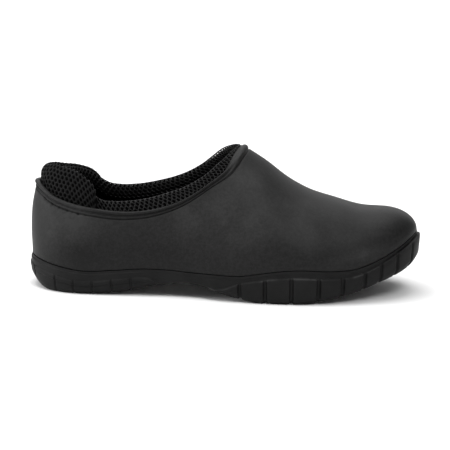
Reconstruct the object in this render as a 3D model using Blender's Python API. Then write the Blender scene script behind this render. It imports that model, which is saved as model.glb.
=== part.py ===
"""A black moulded slip-on clog for the right foot, at its real size.

The shoe points along +X, its outer side faces -Y and its sole stands on z = 0.
Sizes are in millimetres, measured from the back of the heel, and become metres
when a mesh is made. The upper, its lining, the heel pad and the sole are all
worked out from one last: a table of cross sections and a few side-view curves.
"""

import math

import bmesh
import bpy
import numpy as np

MM = 0.001
OBJECT_NAME = "slip_on_clog"

# Driving sizes of the shoe.
LENGTH = 290.0
HEEL_ARC = 45.0
TOE_ARC_START = 200.0
TOE_FULLNESS = 2.08
CLEARANCE = 0.3
SHARP_ANGLE = 35.0
HALVINGS = 40
EDGE_POINTS = 1200

# The last, one row for each cross section along the shoe.
SECTION_COLUMNS = ("x", "half_width", "centre", "feather", "ridge", "ridge_y", "lean", "roundness")
SECTIONS = (
    (0, 41.5, 0.0, 24.0, 170.0, 0.0, 0.15, 2.0),
    (25, 41.5, 0.0, 19.6, 168.0, 0.0, 0.15, 2.0),
    (45, 41.5, 0.0, 17.6, 165.0, 0.0, 0.15, 2.0),
    (65, 41.5, -0.3, 18.9, 161.0, 0.0, 0.15, 2.0),
    (85, 40.8, -0.4, 20.5, 155.0, 0.0, 0.15, 2.0),
    (105, 40.6, -1.3, 20.6, 147.0, 0.0, 0.13, 2.0),
    (125, 44.0, -1.9, 19.9, 136.0, 0.5, 0.10, 2.0),
    (145, 48.4, -2.0, 19.7, 114.6, 1.5, 0.05, 1.9),
    (160, 52.0, -1.7, 20.0, 106.2, 2.5, 0.02, 1.85),
    (175, 54.6, -0.8, 22.6, 96.2, 3.2, 0.0, 1.9),
    (190, 55.8, -0.2, 25.0, 84.2, 4.0, 0.0, 2.0),
    (205, 56.3, 1.1, 26.0, 75.3, 4.0, 0.0, 2.1),
    (225, 56.3, 3.4, 25.1, 68.3, 3.5, 0.0, 2.3),
    (245, 56.3, 6.2, 25.8, 62.9, 2.0, 0.0, 2.4),
    (262, 56.3, 8.6, 31.4, 62.0, 1.0, 0.0, 2.5),
    (276, 56.3, 9.4, 38.6, 62.0, 0.0, 0.0, 2.5),
    (290, 56.3, 9.4, 47.8, 62.0, 0.0, 0.0, 2.5),
)

# Side-view curves, as rows of distance along the shoe and height.
COLLAR = (
    (0, 79.2), (6, 77.6), (11, 75.0), (18, 71.0), (26, 68.2), (37, 65.6), (50, 63.6), (67, 61.9),
    (80, 62.1), (95, 64.4), (115, 71.8), (134, 84.4), (149, 96.6), (157.5, 107.8), (175, 128.0),
    (200, 160.0), (240, 220.0), (290, 295.0),
)
LINING_TOP = (
    (0, 88.5), (22, 88.2), (30, 86.9), (42, 82.6), (53, 75.2), (58, 72.4), (64, 71.0), (76, 71.6),
    (95, 75.5), (105, 78.5), (115, 82.7), (124, 87.9), (134, 95.7), (149, 107.8), (157, 110.0),
    (175, 126.0), (290, 290.0),
)
# The lining's top edge on the outer side, which lies lower in front of the heel pad.
LINING_TOP_OUTER = (
    (0, 88.5), (7, 88.5), (14, 90.2), (22, 90.4), (30, 88.4), (40, 83.0), (46, 77.4), (51, 71.6), (56, 69.0),
    (64, 68.3),
    (76, 68.9), (95, 72.8), (105, 76.4), (115, 80.4), (124, 85.5), (134, 92.1), (149, 104.6),
    (157, 109.6), (175, 126.0), (290, 290.0),
)
HEEL_PAD_TOP = (
    (0, 91.7), (8, 91.0), (17, 89.4), (27, 88.2), (36, 86.0), (41, 84.2), (45, 81.6), (49, 77.3), (51, 72.5),
    (52, 67.0),
)
# The heel pad's top edge on the outer side, where the padding stands higher.
HEEL_PAD_TOP_OUTER = (
    (0, 91.7), (4, 92.8), (10, 93.2), (15, 93.1), (20, 92.5), (27, 91.7), (33, 90.2), (40, 86.5), (46, 82.7),
    (50, 77.6), (52, 70.5),
)
TREAD = (
    (0, 8.0), (4, 5.6), (10, 2.0), (16, 0.0), (30, -0.8), (46, 0.0), (62, 1.8), (74, 3.2), (85, 5.4),
    (97, 8.6), (107, 10.3), (120, 10.8), (131, 9.9), (142, 6.6), (154, 3.6), (166, 1.2), (174, 0.0),
    (188, -0.8), (203, 0.0), (212, 0.9), (224, 2.6), (235, 5.0), (247, 8.4), (258, 12.2), (270, 16.2),
    (281, 20.7), (290, 26.4),
)
FOOTBED = (
    (0, 20.0), (60, 20.0), (100, 21.0), (130, 18.0), (160, 14.0), (200, 12.0), (225, 13.5),
    (245, 17.0), (262, 22.0), (276, 27.0), (290, 32.0),
)
# The lugs' top edge, as rows of distance along the shoe and drop below the feather line.
LUG_TOP_DROP = (
    (0, 6.8), (19, 7.6), (32, 8.3), (46, 8.1), (60, 7.6), (73, 7.2), (88, 7.0), (93, 7.6), (98.5, 10.4),
    (120, 7.4), (132, 7.8), (140, 11.2), (148, 10.4), (158, 6.6), (175, 5.5), (196, 6.0), (231, 6.0),
    (259, 4.9), (273, 4.2), (290, 4.2),
)
# The back of the heel, as rows of height and distance along the shoe.
HEEL_BACK = ((15, 1.9), (24, 1.5), (45, 0.5), (60, 1.2), (74, 3.6), (82, 4.8), (87, 6.2), (93, 9.0))

# Upper: wall, end of the toe, and where its rings cross the ridge of the instep.
WALL = 2.6
UPPER_INSET = 1.5
UPPER_TOE_INSET = 2.5
TOE_TIP = LENGTH - UPPER_TOE_INSET
TOE_ROUND_START = 262.0
QUARTER_BULGE = 0.025
LEAN_POWER = 1.6
LEAN_LIMIT = 1.7
RING_SEARCH_START = 100.0
RING_SEARCH_STEPS = 8
RING_ENDS = (286.3, 283.0, 276.0, 263.0, 246.0, 227.0, 208.0, 192.0, 179.0)
SIDE_STEPS = 27

# Collar bead with the groove below it, and the rim: rows of drop below the rim line and step out of the wall.
BEAD = ((8.4, 0.0), (5.9, 0.0), (5.2, -0.5), (4.2, 0.25), (3.0, -0.25), (1.7, 1.0), (0.5, 0.9))
RIM = ((0.0, -0.3), (-0.3, -1.4), (0.3, -WALL))
BEAD_FOOT = BEAD[0][0]
# The bead's size along the shoe, as rows of distance and share: it narrows beside the throat.
BEAD_SHARE = ((0, 1.0), (85, 1.0), (109, 0.8), (122, 0.68), (140, 0.68), (157, 1.0))

# Lining and heel pad.
LINING_THICKNESS = 2.2
SOFT_GAP = 0.6
LINING_FOOT = 0.35
LINING_ROWS = 6
PAD_THICKNESS = 5.0
PAD_EDGE_THICKNESS = 2.4
PAD_THIN_START = 20.0
PAD_FRONT = 52.0
PAD_BLEND_END = 66.0
PAD_FOOT = 45.0
PAD_COLUMNS = 10
PAD_ROWS = 5
PAD_FRONT_TAPER = (-0.12, 0.12)
PAD_TOP_TAPER = (-0.2, 0.3)
PAD_FOOT_ROUND = 1.0
PAD_CREST_ROUND = 0.8
PAD_OVERHANG = 1.0
PAD_OVERHANG_RISE = (1.5, 7.0)

# Outsole: insets from its outline, and heights from the feather line or the tread.
SHELF_INNER = 4.9
BED_INSET = 5.8
LIP_PROUD = 0.8
LIP_HEIGHT = 1.5
BAND_STEP = 0.5
BAND_TOP_DROP = 2.6
LUG_FOOT = 3.6
LUG_FOOT_INSET = 0.8
TREAD_EDGE_INSET = 4.0
LUG_INSIDE = 14.5
FIELD_INSIDE = 15.2
FIELD_DEPTH = 1.8
GROOVE_HALF_WIDTH = 1.7
GROOVE_DEPTH = 2.4
GROOVE_FOOT_SHARE = 0.6
HEEL_GROOVE_HALF_WIDTH = 1.1
HEEL_GROOVE_SHARE = 0.55
# Grooves between the lugs on the outer side (-1) and the inner side (1): places from the heel's tip along
# the edge, places along the shoe, and the place before the toe's tip along the edge.
HEEL_TIP_GROOVES = {-1: (4.7, 19.5), 1: (10.4, 22.7)}
HEEL_GROOVES = {-1: (21.8, 36.0, 50.2, 64.5, 78.8), 1: (28.4, 42.7, 56.9, 70.6, 83.9)}
FORE_GROOVES = {
    -1: (160.0, 179.0, 198.5, 218.5, 236.0, 252.0, 263.5, 275.0),
    1: (160.0, 175.0, 190.0, 204.5, 217.0, 231.0, 248.0, 271.0),
}
TOE_TIP_GROOVE = 19.5
ARCH_START, ARCH_END = 98.0, 137.5
ARCH_EDGE = 1.5
ARCH_STATIONS = (88.0, 96.5, 99.5, 110.0, 123.0, 136.0, 139.0, 148.5)

# Hexagon tread pads.
HEX_PITCH = 13.0
HEX_FLATS = 10.4
HEX_DRAFT = 0.5
HEX_DEPTH = 4.0
HEX_MARGIN = 1.0
HEX_SMALLEST = 0.55
HEX_COLUMNS = 5

INSOLE_THICKNESS = 4.0
INSOLE_INSET = 8.5

# Colour, roughness of each material.
FINISHES = {
    "moulded_upper": ((0.030, 0.030, 0.032, 1.0), 0.48),
    "moulded_sole": ((0.018, 0.018, 0.019, 1.0), 0.58),
    "spacer_mesh": ((0.014, 0.014, 0.015, 1.0), 0.85),
    "padded_mesh": ((0.016, 0.016, 0.017, 1.0), 0.85),
    "insole_foam": ((0.020, 0.020, 0.021, 1.0), 0.90),
}


def curve(x, rows):
    """A smooth curve through (position, value) rows, held level past its ends."""
    knots, values = np.array(rows, float).T
    x = np.clip(np.asarray(x, float), knots[0], knots[-1])
    slopes = np.gradient(values, knots)
    i = np.clip(np.searchsorted(knots, x, side="right") - 1, 0, len(knots) - 2)
    span = knots[i + 1] - knots[i]
    t = (x - knots[i]) / span
    start = values[i] * (1 + 2 * t) * (1 - t) ** 2 + slopes[i] * span * t * (1 - t) ** 2
    end = values[i + 1] * t * t * (3 - 2 * t) + slopes[i + 1] * span * t * t * (t - 1)
    return start + end


def section(x, column):
    """One named column of the last's sections at x."""
    j = SECTION_COLUMNS.index(column)
    return curve(x, [(row[0], row[j]) for row in SECTIONS])


def smoothstep(x, start, end):
    t = np.clip((np.asarray(x, float) - start) / (end - start), 0.0, 1.0)
    return t * t * (3 - 2 * t)


def tread(x):
    """Height of the sole's underside, flat on the floor under the heel and the ball."""
    return np.maximum(curve(x, TREAD), 0.0)


def feather(x):
    """Height of the line where the upper meets the sole."""
    return section(x, "feather")


def ridge(x):
    """Height of the upper's top line, which rounds over at the toe."""
    along = np.clip((np.asarray(x, float) - TOE_ROUND_START) / (TOE_TIP - TOE_ROUND_START), 0.0, 1.0)
    tip = feather(TOE_TIP)
    return tip + (section(x, "ridge") - tip) * np.sqrt(1 - along**2)


def toe_round(x, start, tip, fullness):
    along = np.clip((np.asarray(x, float) - start) / (tip - start), 0.0, 1.0)
    return (1 - along**fullness) ** (1 / fullness)


def heel_round(x, back):
    short = np.clip((back + HEEL_ARC - np.asarray(x, float)) / HEEL_ARC, 0.0, 1.0)
    return np.sqrt(1 - short**2)


def upper_inset(x):
    """How far the upper stands inside the sole's outline."""
    return UPPER_INSET + (UPPER_TOE_INSET - UPPER_INSET) * smoothstep(x, TOE_ROUND_START, LENGTH)


def rise(x, z):
    """How far up a height lies between the feather line and the ridge, from 0 to 1."""
    foot = feather(x)
    return np.clip((z - foot) / np.maximum(ridge(x) - foot, 0.01), 0.0, 1.0)


def last_half_width(x, z):
    """Half width of the last at a place along the shoe and a height."""
    back = curve(z, HEEL_BACK)
    plan = section(x, "half_width") - upper_inset(x)
    plan = plan * heel_round(x, back) * toe_round(x, TOE_ARC_START, TOE_TIP, TOE_FULLNESS)
    vault = (1 - rise(x, z) ** 2) ** (1 / section(x, "roundness"))
    foot = feather(x)
    wall = np.clip((z - foot) / (curve(x, COLLAR) - foot), 0.0, LEAN_LIMIT)
    bulge = QUARTER_BULGE * np.sin(math.pi * np.minimum(wall, 1.0))
    return plan * vault * (1 + bulge - section(x, "lean") * wall**LEAN_POWER)


def last_point(x, z, side):
    """A point of the last's surface; side is -1 on the outer side and 1 on the inner side."""
    middle = section(x, "centre") * smoothstep(x, 0.0, HEEL_ARC) + section(x, "ridge_y") * rise(x, z) ** 2
    y = middle + side * last_half_width(x, z)
    return np.stack([x, y, z], axis=-1)


def ring_end(height):
    """Where a side-view curve meets the ridge at the front."""
    low, high = RING_SEARCH_START, TOE_TIP
    for _ in range(HALVINGS):
        middle = (low + high) / 2
        if height(middle) < ridge(middle):
            low = middle
        else:
            high = middle
    return low


def ring_start(height):
    """Where a side-view curve meets the back of the heel."""
    back = 0.0
    for _ in range(RING_SEARCH_STEPS):
        back = float(curve(height(back), HEEL_BACK))
    return back


def ring(height, outer_height=None):
    """A closed loop round the last along a side-view curve, from the heel by the outer side."""
    start, end = ring_start(height), ring_end(height)
    turn = np.linspace(0.0, math.pi, SIDE_STEPS + 1)
    x = start + (end - start) * (1 - np.cos(turn)) / 2
    outer = last_point(x, (outer_height or height)(x), -1)
    inner = last_point(x, height(x), 1)
    middle = last_point(x, height(x), 0)
    outer[[0, -1]] = middle[[0, -1]]
    return np.concatenate([outer, inner[-2:0:-1]])


def under_collar(drop):
    """The rim's side-view curve moved down by a distance along the wall."""

    def height(x):
        slope = curve(x + 0.5, COLLAR) - curve(x - 0.5, COLLAR)
        return curve(x, COLLAR) - drop * curve(x, BEAD_SHARE) * np.sqrt(1 + slope**2)

    return height


def between(low, high, share):
    """A side-view curve between two others."""
    return lambda x: low(x) + share * (high(x) - low(x))


def body_curves():
    """Side-view curves of the upper's rings from the feather line up to the collar."""
    top = under_collar(BEAD_FOOT)
    shares = [(ridge(x) - feather(x)) / (top(x) - feather(x)) for x in RING_ENDS]
    return [feather] + [between(feather, top, share) for share in shares]


def normals(grid, level_foot=False):
    """Outward unit normals of a grid of closed loops; a level foot keeps its first row horizontal."""
    around = np.roll(grid, -1, axis=1) - np.roll(grid, 1, axis=1)
    normal = np.cross(around, np.gradient(grid, axis=0))
    if level_foot:
        normal[0, :, 2] = 0.0
    return normal / np.linalg.norm(normal, axis=2, keepdims=True)


def shell(name, rings):
    """A hollow ring-shaped solid from loops that go up its outside and down its inside."""
    rows, count = rings.shape[:2]
    faces = []
    for j in range(rows):
        k = (j + 1) % rows
        for i in range(count):
            n = (i + 1) % count
            faces.append((j * count + i, j * count + n, k * count + n, k * count + i))
    return new_mesh(name, rings.reshape(-1, 3), faces)


def capped(name, rings):
    """A solid from stacked loops, closed at both ends across the shoe."""
    rows, count = rings.shape[:2]
    half = count // 2
    faces = []
    for j in range(rows - 1):
        for i in range(count):
            n = (i + 1) % count
            faces.append((j * count + i, j * count + n, (j + 1) * count + n, (j + 1) * count + i))
    for first in (0, (rows - 1) * count):
        faces.append((first, first + 1, first + count - 1))
        for i in range(1, half - 1):
            faces.append((first + i, first + i + 1, first + count - i - 1, first + count - i))
        faces.append((first + half - 1, first + half, first + half + 1))
    return new_mesh(name, rings.reshape(-1, 3), faces)


def new_mesh(name, points, faces):
    """A mesh in metres with its faces turned outwards and its round edges shaded smooth."""
    mesh = bpy.data.meshes.new(name)
    mesh.from_pydata([tuple(point * MM) for point in points], [], faces)
    bm = bmesh.new()
    bm.from_mesh(mesh)
    bmesh.ops.recalc_face_normals(bm, faces=bm.faces)
    bm.to_mesh(mesh)
    bm.free()
    mesh.shade_smooth()
    mesh.set_sharp_from_angle(angle=math.radians(SHARP_ANGLE))
    return mesh


def make_upper():
    """The hollow wall, open at the collar and underneath, with its collar bead and groove."""
    body = body_curves()
    edge = BEAD + RIM[:1]
    curves = body + [under_collar(drop) for drop, _ in edge]
    proud = [0.0] * len(body) + [step for _, step in edge]
    grid = np.array([ring(height) for height in curves])
    normal = normals(grid, level_foot=True)
    outside = grid + normal * np.array(proud)[:, None, None]
    rim = [ring(under_collar(drop)) + normal[-1] * step for drop, step in RIM[1:]]
    inside = (grid - normal * WALL)[: len(body) + 1][::-1]
    return shell("upper", np.concatenate([outside, rim, inside]))


def pad_thickness(x):
    """Thickness of the heel pad, full at the back of the heel and thin at its front edges."""
    return PAD_THICKNESS + (PAD_EDGE_THICKNESS - PAD_THICKNESS) * smoothstep(x, PAD_THIN_START, PAD_FRONT)


def lining_top(x):
    return curve(x, LINING_TOP)


def lining_top_outer(x):
    return curve(x, LINING_TOP_OUTER)


def make_lining():
    """The mesh collar lining, which stands above the rim and passes inside the heel pad."""
    foot = between(feather, under_collar(BEAD_FOOT), LINING_FOOT)
    shares = np.linspace(0.0, 1.0, LINING_ROWS + 1)
    grid = []
    for share in shares:
        grid.append(ring(between(foot, lining_top, share), between(foot, lining_top_outer, share)))
    grid = np.array(grid)
    normal = normals(grid)
    x = grid[:, :, 0]
    room = (pad_thickness(x) + CLEARANCE) * (1 - smoothstep(x, PAD_FRONT, PAD_BLEND_END))
    outset = WALL + SOFT_GAP + room
    outside = grid - normal * outset[:, :, None]
    inside = grid - normal * (outset + LINING_THICKNESS)[:, :, None]
    return shell("collar_lining", np.concatenate([outside, inside[::-1]]))


def make_heel_pad():
    """The padded heel tab: a bowed plate round the heel with a rounded top and front edges."""
    along = np.linspace(-1.0, 1.0, 2 * PAD_COLUMNS + 1)
    share, row = np.meshgrid(along, np.linspace(0.0, 1.0, PAD_ROWS + 1))
    forward = (1 - np.cos(math.pi * share)) / 2
    inner_top, outer_top = (curve(forward * PAD_FRONT, rows) for rows in (HEEL_PAD_TOP, HEEL_PAD_TOP_OUTER))
    z = PAD_FOOT + (np.where(share < 0, outer_top, inner_top) - PAD_FOOT) * row
    back = curve(z, HEEL_BACK)
    x = back + forward * (PAD_FRONT - back)
    grid = last_point(x, z, np.sign(share))
    normal = np.cross(np.gradient(grid, axis=0), np.gradient(grid, axis=1))
    normal /= np.linalg.norm(normal, axis=2, keepdims=True)
    outset = WALL + SOFT_GAP - PAD_OVERHANG * smoothstep(z - curve(x, COLLAR), *PAD_OVERHANG_RISE)
    thickness = pad_thickness(x)
    full = np.minimum(smoothstep(1 - np.abs(share), *PAD_FRONT_TAPER), smoothstep(1 - row, *PAD_TOP_TAPER))
    outside = grid - normal * (outset + thickness * (1 - full) / 2)[:, :, None]
    inside = grid - normal * (outset + thickness * (1 + full) / 2)[:, :, None]
    foot = (outside[:1] + inside[:1]) / 2 - np.array([0.0, 0.0, PAD_FOOT_ROUND])
    crest = (outside[-1:] + inside[-1:]) / 2 + np.array([0.0, 0.0, PAD_CREST_ROUND])
    loops = np.concatenate([foot, outside, crest, inside[::-1]]).transpose(1, 0, 2)
    return capped("heel_pad", loops)


def sole_half_width(x):
    return section(x, "half_width") * heel_round(x, 0.0) * toe_round(x, TOE_ARC_START, LENGTH, TOE_FULLNESS)


def sole_edge(side):
    """The sole's outline on one side from heel tip to toe tip: points, inward normals, lengths."""
    turn = np.linspace(0.0, math.pi, EDGE_POINTS)
    x = LENGTH * (1 - np.cos(turn)) / 2
    y = section(x, "centre") * smoothstep(x, 0.0, HEEL_ARC) + side * sole_half_width(x)
    points = np.stack([x, y], axis=1)
    tangent = np.gradient(points, axis=0)
    tangent[0] = tangent[-1] = (0.0, side)
    tangent[-1] *= -1
    tangent /= np.linalg.norm(tangent, axis=1, keepdims=True)
    inward = side * np.stack([tangent[:, 1], -tangent[:, 0]], axis=1)
    lengths = np.concatenate([[0.0], np.cumsum(np.linalg.norm(np.diff(points, axis=0), axis=1))])
    return points, inward, lengths


def edge_stations(side, points, lengths):
    """Places along one edge, with the groove weight of each: block edges, groove floors, block middles."""

    def length_at(x):
        return float(np.interp(x, points[:, 0], lengths))

    heel = [*HEEL_TIP_GROOVES[side], *map(length_at, HEEL_GROOVES[side])]
    fore = [*map(length_at, FORE_GROOVES[side]), lengths[-1] - TOE_TIP_GROOVE]
    kinds = ((heel, HEEL_GROOVE_HALF_WIDTH, HEEL_GROOVE_SHARE), (fore, GROOVE_HALF_WIDTH, 1.0))
    stations = [(0.0, 0.0), (lengths[-1], 0.0)]
    for places, half_width, share in kinds:
        for place in places:
            stations += [(place - half_width, 0.0), (place, share), (place + half_width, 0.0)]
        stations += [((a + b) / 2, 0.0) for a, b in zip(places[:-1], places[1:])]
    stations += [(length_at(x), 0.0) for x in ARCH_STATIONS]
    return np.array(sorted(stations)).T


def arch(x):
    """1 in the smooth arch and 0 in the lugged heel and forefoot."""
    return smoothstep(x, ARCH_START - ARCH_EDGE, ARCH_START + ARCH_EDGE) * (
        1 - smoothstep(x, ARCH_END - ARCH_EDGE, ARCH_END + ARCH_EDGE)
    )


def shelf(x):
    """Height of the ledge that carries the upper."""
    return feather(x) - CLEARANCE


def lug_top(x):
    return feather(x) - curve(x, LUG_TOP_DROP)


def side_foot(x):
    """Height on the side where the lugs turn under."""
    return tread(x) + np.minimum(LUG_FOOT, 0.5 * (lug_top(x) - tread(x)))


def sole_profile(points, inward, groove):
    """The sole's loops at one edge's stations, from the footbed over the lip and lugs to the tread field."""

    def place(inset, height):
        spot = points + inward * np.broadcast_to(inset, groove.shape)[:, None]
        return np.column_stack([spot, height(spot[:, 0])])

    x = points[:, 0]
    wall = upper_inset(x)
    band = wall + BAND_STEP
    lug = band * arch(x) + GROOVE_DEPTH * groove
    lug_foot = (band + LUG_FOOT_INSET) * arch(x) + LUG_FOOT_INSET * (1 - arch(x)) + GROOVE_DEPTH * groove
    return [
        place(BED_INSET, lambda s: curve(s, FOOTBED)),
        place(SHELF_INNER, shelf),
        place(wall - LIP_PROUD, shelf),
        place(wall - LIP_PROUD, lambda s: shelf(s) - LIP_HEIGHT),
        place(band, lambda s: feather(s) - BAND_TOP_DROP),
        place(band, lambda s: lug_top(s) + LIP_PROUD),
        place(lug, lug_top),
        place(lug_foot, side_foot),
        place(TREAD_EDGE_INSET, lambda s: tread(s) + FIELD_DEPTH * GROOVE_FOOT_SHARE * groove),
        place(LUG_INSIDE, lambda s: tread(s) + FIELD_DEPTH * groove),
        place(FIELD_INSIDE, lambda s: tread(s) + FIELD_DEPTH * (1 - arch(s))),
    ]


def along_edge(at, lengths, values):
    """Values given along an edge, taken at the stated lengths."""
    return np.stack([np.interp(at, lengths, values[:, j]) for j in (0, 1)], axis=1)


def sole_loops():
    """The sole's loops round the whole shoe, from the heel by the outer side to the toe and back."""
    sides = []
    for side in (-1, 1):
        points, inward, lengths = sole_edge(side)
        at, groove = edge_stations(side, points, lengths)
        spot = along_edge(at, lengths, points)
        sides.append(sole_profile(spot, along_edge(at, lengths, inward), groove))
    return np.array([np.concatenate([outer, inner[-2:0:-1]]) for outer, inner in zip(*sides)])


def field_room(x, y, edges):
    """How far a place lies inside the tread field that holds it; less than 0 is outside."""
    across = np.min(np.hypot(edges[:, 0] - x, edges[:, 1] - y)) - FIELD_INSIDE
    if abs(y - float(section(x, "centre"))) > float(sole_half_width(x)):
        across = -1.0
    along = max(ARCH_START - ARCH_EDGE - x, x - ARCH_END - ARCH_EDGE)
    return min(across, along) - HEX_MARGIN


def pad_corner(centre, corner, edges):
    """A hexagon corner, pulled in towards the pad's centre where it would leave the field."""
    if field_room(*corner, edges) >= 0:
        return corner
    low, high = 0.0, 1.0
    for _ in range(HALVINGS):
        middle = (low + high) / 2
        if field_room(*(centre + (corner - centre) * middle), edges) >= 0:
            low = middle
        else:
            high = middle
    return centre + (corner - centre) * low


def hexagon_pads():
    """Closed six-sided pads on a staggered lattice, standing from the tread into the sole."""
    edges = np.concatenate([sole_edge(side)[0] for side in (-1, 1)])
    column_pitch = HEX_PITCH * math.sqrt(3) / 2
    reach = HEX_FLATS / math.sqrt(3)
    turns = [math.radians(60 * j) for j in range(6)]
    spokes = [reach * np.array([math.sin(turn), math.cos(turn)]) for turn in turns]
    points, faces = [], []
    for column in range(-HEX_COLUMNS, HEX_COLUMNS + 1):
        for row in range(int(LENGTH / HEX_PITCH) + 1):
            centre = np.array([(row + 0.5 * (column % 2)) * HEX_PITCH, column * column_pitch])
            if field_room(*centre, edges) < HEX_SMALLEST:
                continue
            corners = [pad_corner(centre, centre + spoke, edges) for spoke in spokes]
            foot = len(points)
            points += [(*corner, float(tread(corner[0]))) for corner in corners]
            root = [corner + (corner - centre) * HEX_DRAFT / reach for corner in corners]
            points += [(*corner, float(tread(corner[0])) + HEX_DEPTH) for corner in root]
            faces.append([foot + j for j in range(6)])
            faces.append([foot + 6 + j for j in reversed(range(6))])
            for j in range(6):
                n = (j + 1) % 6
                faces.append([foot + n, foot + j, foot + 6 + j, foot + 6 + n])
    return new_mesh("tread_pads", np.array(points), faces)


def make_insole():
    """A flat liner on the footbed."""
    sides = []
    for side in (-1, 1):
        points, inward, lengths = sole_edge(side)
        at = np.linspace(0.0, lengths[-1], SIDE_STEPS + 1)
        spot = along_edge(at, lengths, points + inward * INSOLE_INSET)
        low = curve(spot[:, 0], FOOTBED) + CLEARANCE
        sides.append([np.column_stack([spot, low]), np.column_stack([spot, low + INSOLE_THICKNESS])])
    loops = [np.concatenate([outer, inner[-2:0:-1]]) for outer, inner in zip(*sides)]
    return capped("insole", np.array(loops))


def finish(name):
    """A plain material with the named colour and roughness."""
    colour, roughness = FINISHES[name]
    material = bpy.data.materials.new(name)
    material.use_nodes = True
    shader = material.node_tree.nodes["Principled BSDF"]
    shader.inputs["Base Color"].default_value = colour
    shader.inputs["Roughness"].default_value = roughness
    shader.inputs["Metallic"].default_value = 0.0
    return material


def add_object(mesh, collection, root, material):
    """One sub-part of the shoe, carried by the root."""
    mesh.materials.append(material)
    obj = bpy.data.objects.new(mesh.name, mesh)
    obj.parent = root
    collection.objects.link(obj)
    return obj


def add_pads(sole, collection, root):
    """Joins the tread pads to the sole."""
    pads = add_object(hexagon_pads(), collection, root, sole.data.materials[0])
    pads.hide_render = True
    pads.display_type = "WIRE"
    union = sole.modifiers.new("tread pads", "BOOLEAN")
    union.operation = "UNION"
    union.solver = "EXACT"
    union.object = pads


def stand_on_origin(root, parts):
    """Moves the root so that the shoe's box stands on the origin, centred."""
    points = np.array([vertex.co for part in parts for vertex in part.data.vertices])
    low, high = points.min(axis=0), points.max(axis=0)
    root.location = (-(low[0] + high[0]) / 2, -(low[1] + high[1]) / 2, -low[2])


def clear_scene():
    for obj in list(bpy.data.objects):
        bpy.data.objects.remove(obj, do_unlink=True)


def new_collection(name):
    collection = bpy.data.collections.new(name)
    bpy.context.scene.collection.children.link(collection)
    return collection


def main():
    clear_scene()
    shoe = new_collection(OBJECT_NAME)
    helpers = new_collection("joined_shapes")
    root = bpy.data.objects.new("root", None)
    shoe.objects.link(root)
    sole = add_object(capped("outsole", sole_loops()), shoe, root, finish("moulded_sole"))
    add_pads(sole, helpers, root)
    parts = [
        sole,
        add_object(make_upper(), shoe, root, finish("moulded_upper")),
        add_object(make_lining(), shoe, root, finish("spacer_mesh")),
        add_object(make_heel_pad(), shoe, root, finish("padded_mesh")),
        add_object(make_insole(), shoe, root, finish("insole_foam")),
    ]
    stand_on_origin(root, parts)


main()
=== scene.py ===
import math

import bmesh
import bpy
import numpy as np
from mathutils import Matrix, Vector


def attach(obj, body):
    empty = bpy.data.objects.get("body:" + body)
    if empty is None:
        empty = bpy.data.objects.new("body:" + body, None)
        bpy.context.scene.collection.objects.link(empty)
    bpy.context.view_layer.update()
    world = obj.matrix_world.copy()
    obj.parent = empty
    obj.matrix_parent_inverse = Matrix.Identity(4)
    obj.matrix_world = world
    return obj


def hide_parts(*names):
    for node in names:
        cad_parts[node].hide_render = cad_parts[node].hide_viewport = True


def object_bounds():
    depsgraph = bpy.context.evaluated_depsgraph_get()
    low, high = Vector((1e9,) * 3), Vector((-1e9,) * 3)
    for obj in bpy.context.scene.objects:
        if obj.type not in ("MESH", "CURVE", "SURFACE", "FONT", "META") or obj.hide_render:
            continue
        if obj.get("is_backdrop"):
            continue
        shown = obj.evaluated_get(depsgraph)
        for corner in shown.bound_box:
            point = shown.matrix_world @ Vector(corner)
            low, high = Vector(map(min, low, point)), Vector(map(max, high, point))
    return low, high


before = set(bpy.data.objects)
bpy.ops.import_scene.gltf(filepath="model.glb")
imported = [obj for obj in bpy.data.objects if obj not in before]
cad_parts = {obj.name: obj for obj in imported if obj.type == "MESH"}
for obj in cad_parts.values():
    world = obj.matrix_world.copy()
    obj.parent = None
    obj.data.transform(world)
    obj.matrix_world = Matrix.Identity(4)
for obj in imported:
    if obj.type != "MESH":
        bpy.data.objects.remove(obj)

cad_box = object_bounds()

# The source's own millimetres, measured from the back of the heel, against the row frame in metres.
MM = 0.001
TO_ROW = np.array([-145.0, -0.94933, 0.0])

# Driving sizes of the shoe, and how finely its outlines are worked out.
LENGTH = 290.0
HEEL_ARC = 45.0
TOE_ARC_START = 200.0
TOE_FULLNESS = 2.08
CLEARANCE = 0.3
HALVINGS = 40
EDGE_POINTS = 2400
TINY = 1e-9

SECTION_COLUMNS = ("x", "half_width", "centre", "feather", "ridge", "ridge_y", "lean", "roundness")
SECTIONS = (
    (0, 41.5, 0.0, 24.0, 170.0, 0.0, 0.15, 2.0),
    (25, 41.5, 0.0, 19.6, 168.0, 0.0, 0.15, 2.0),
    (45, 41.5, 0.0, 17.6, 165.0, 0.0, 0.15, 2.0),
    (65, 41.5, -0.3, 18.9, 161.0, 0.0, 0.15, 2.0),
    (85, 40.8, -0.4, 20.5, 155.0, 0.0, 0.15, 2.0),
    (105, 40.6, -1.3, 20.6, 147.0, 0.0, 0.13, 2.0),
    (125, 44.0, -1.9, 19.9, 136.0, 0.5, 0.10, 2.0),
    (145, 48.4, -2.0, 19.7, 114.6, 1.5, 0.05, 1.9),
    (160, 52.0, -1.7, 20.0, 106.2, 2.5, 0.02, 1.85),
    (175, 54.6, -0.8, 22.6, 96.2, 3.2, 0.0, 1.9),
    (190, 55.8, -0.2, 25.0, 84.2, 4.0, 0.0, 2.0),
    (205, 56.3, 1.1, 26.0, 75.3, 4.0, 0.0, 2.1),
    (225, 56.3, 3.4, 25.1, 68.3, 3.5, 0.0, 2.3),
    (245, 56.3, 6.2, 25.8, 62.9, 2.0, 0.0, 2.4),
    (262, 56.3, 8.6, 31.4, 62.0, 1.0, 0.0, 2.5),
    (276, 56.3, 9.4, 38.6, 62.0, 0.0, 0.0, 2.5),
    (290, 56.3, 9.4, 47.8, 62.0, 0.0, 0.0, 2.5),
)

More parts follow.
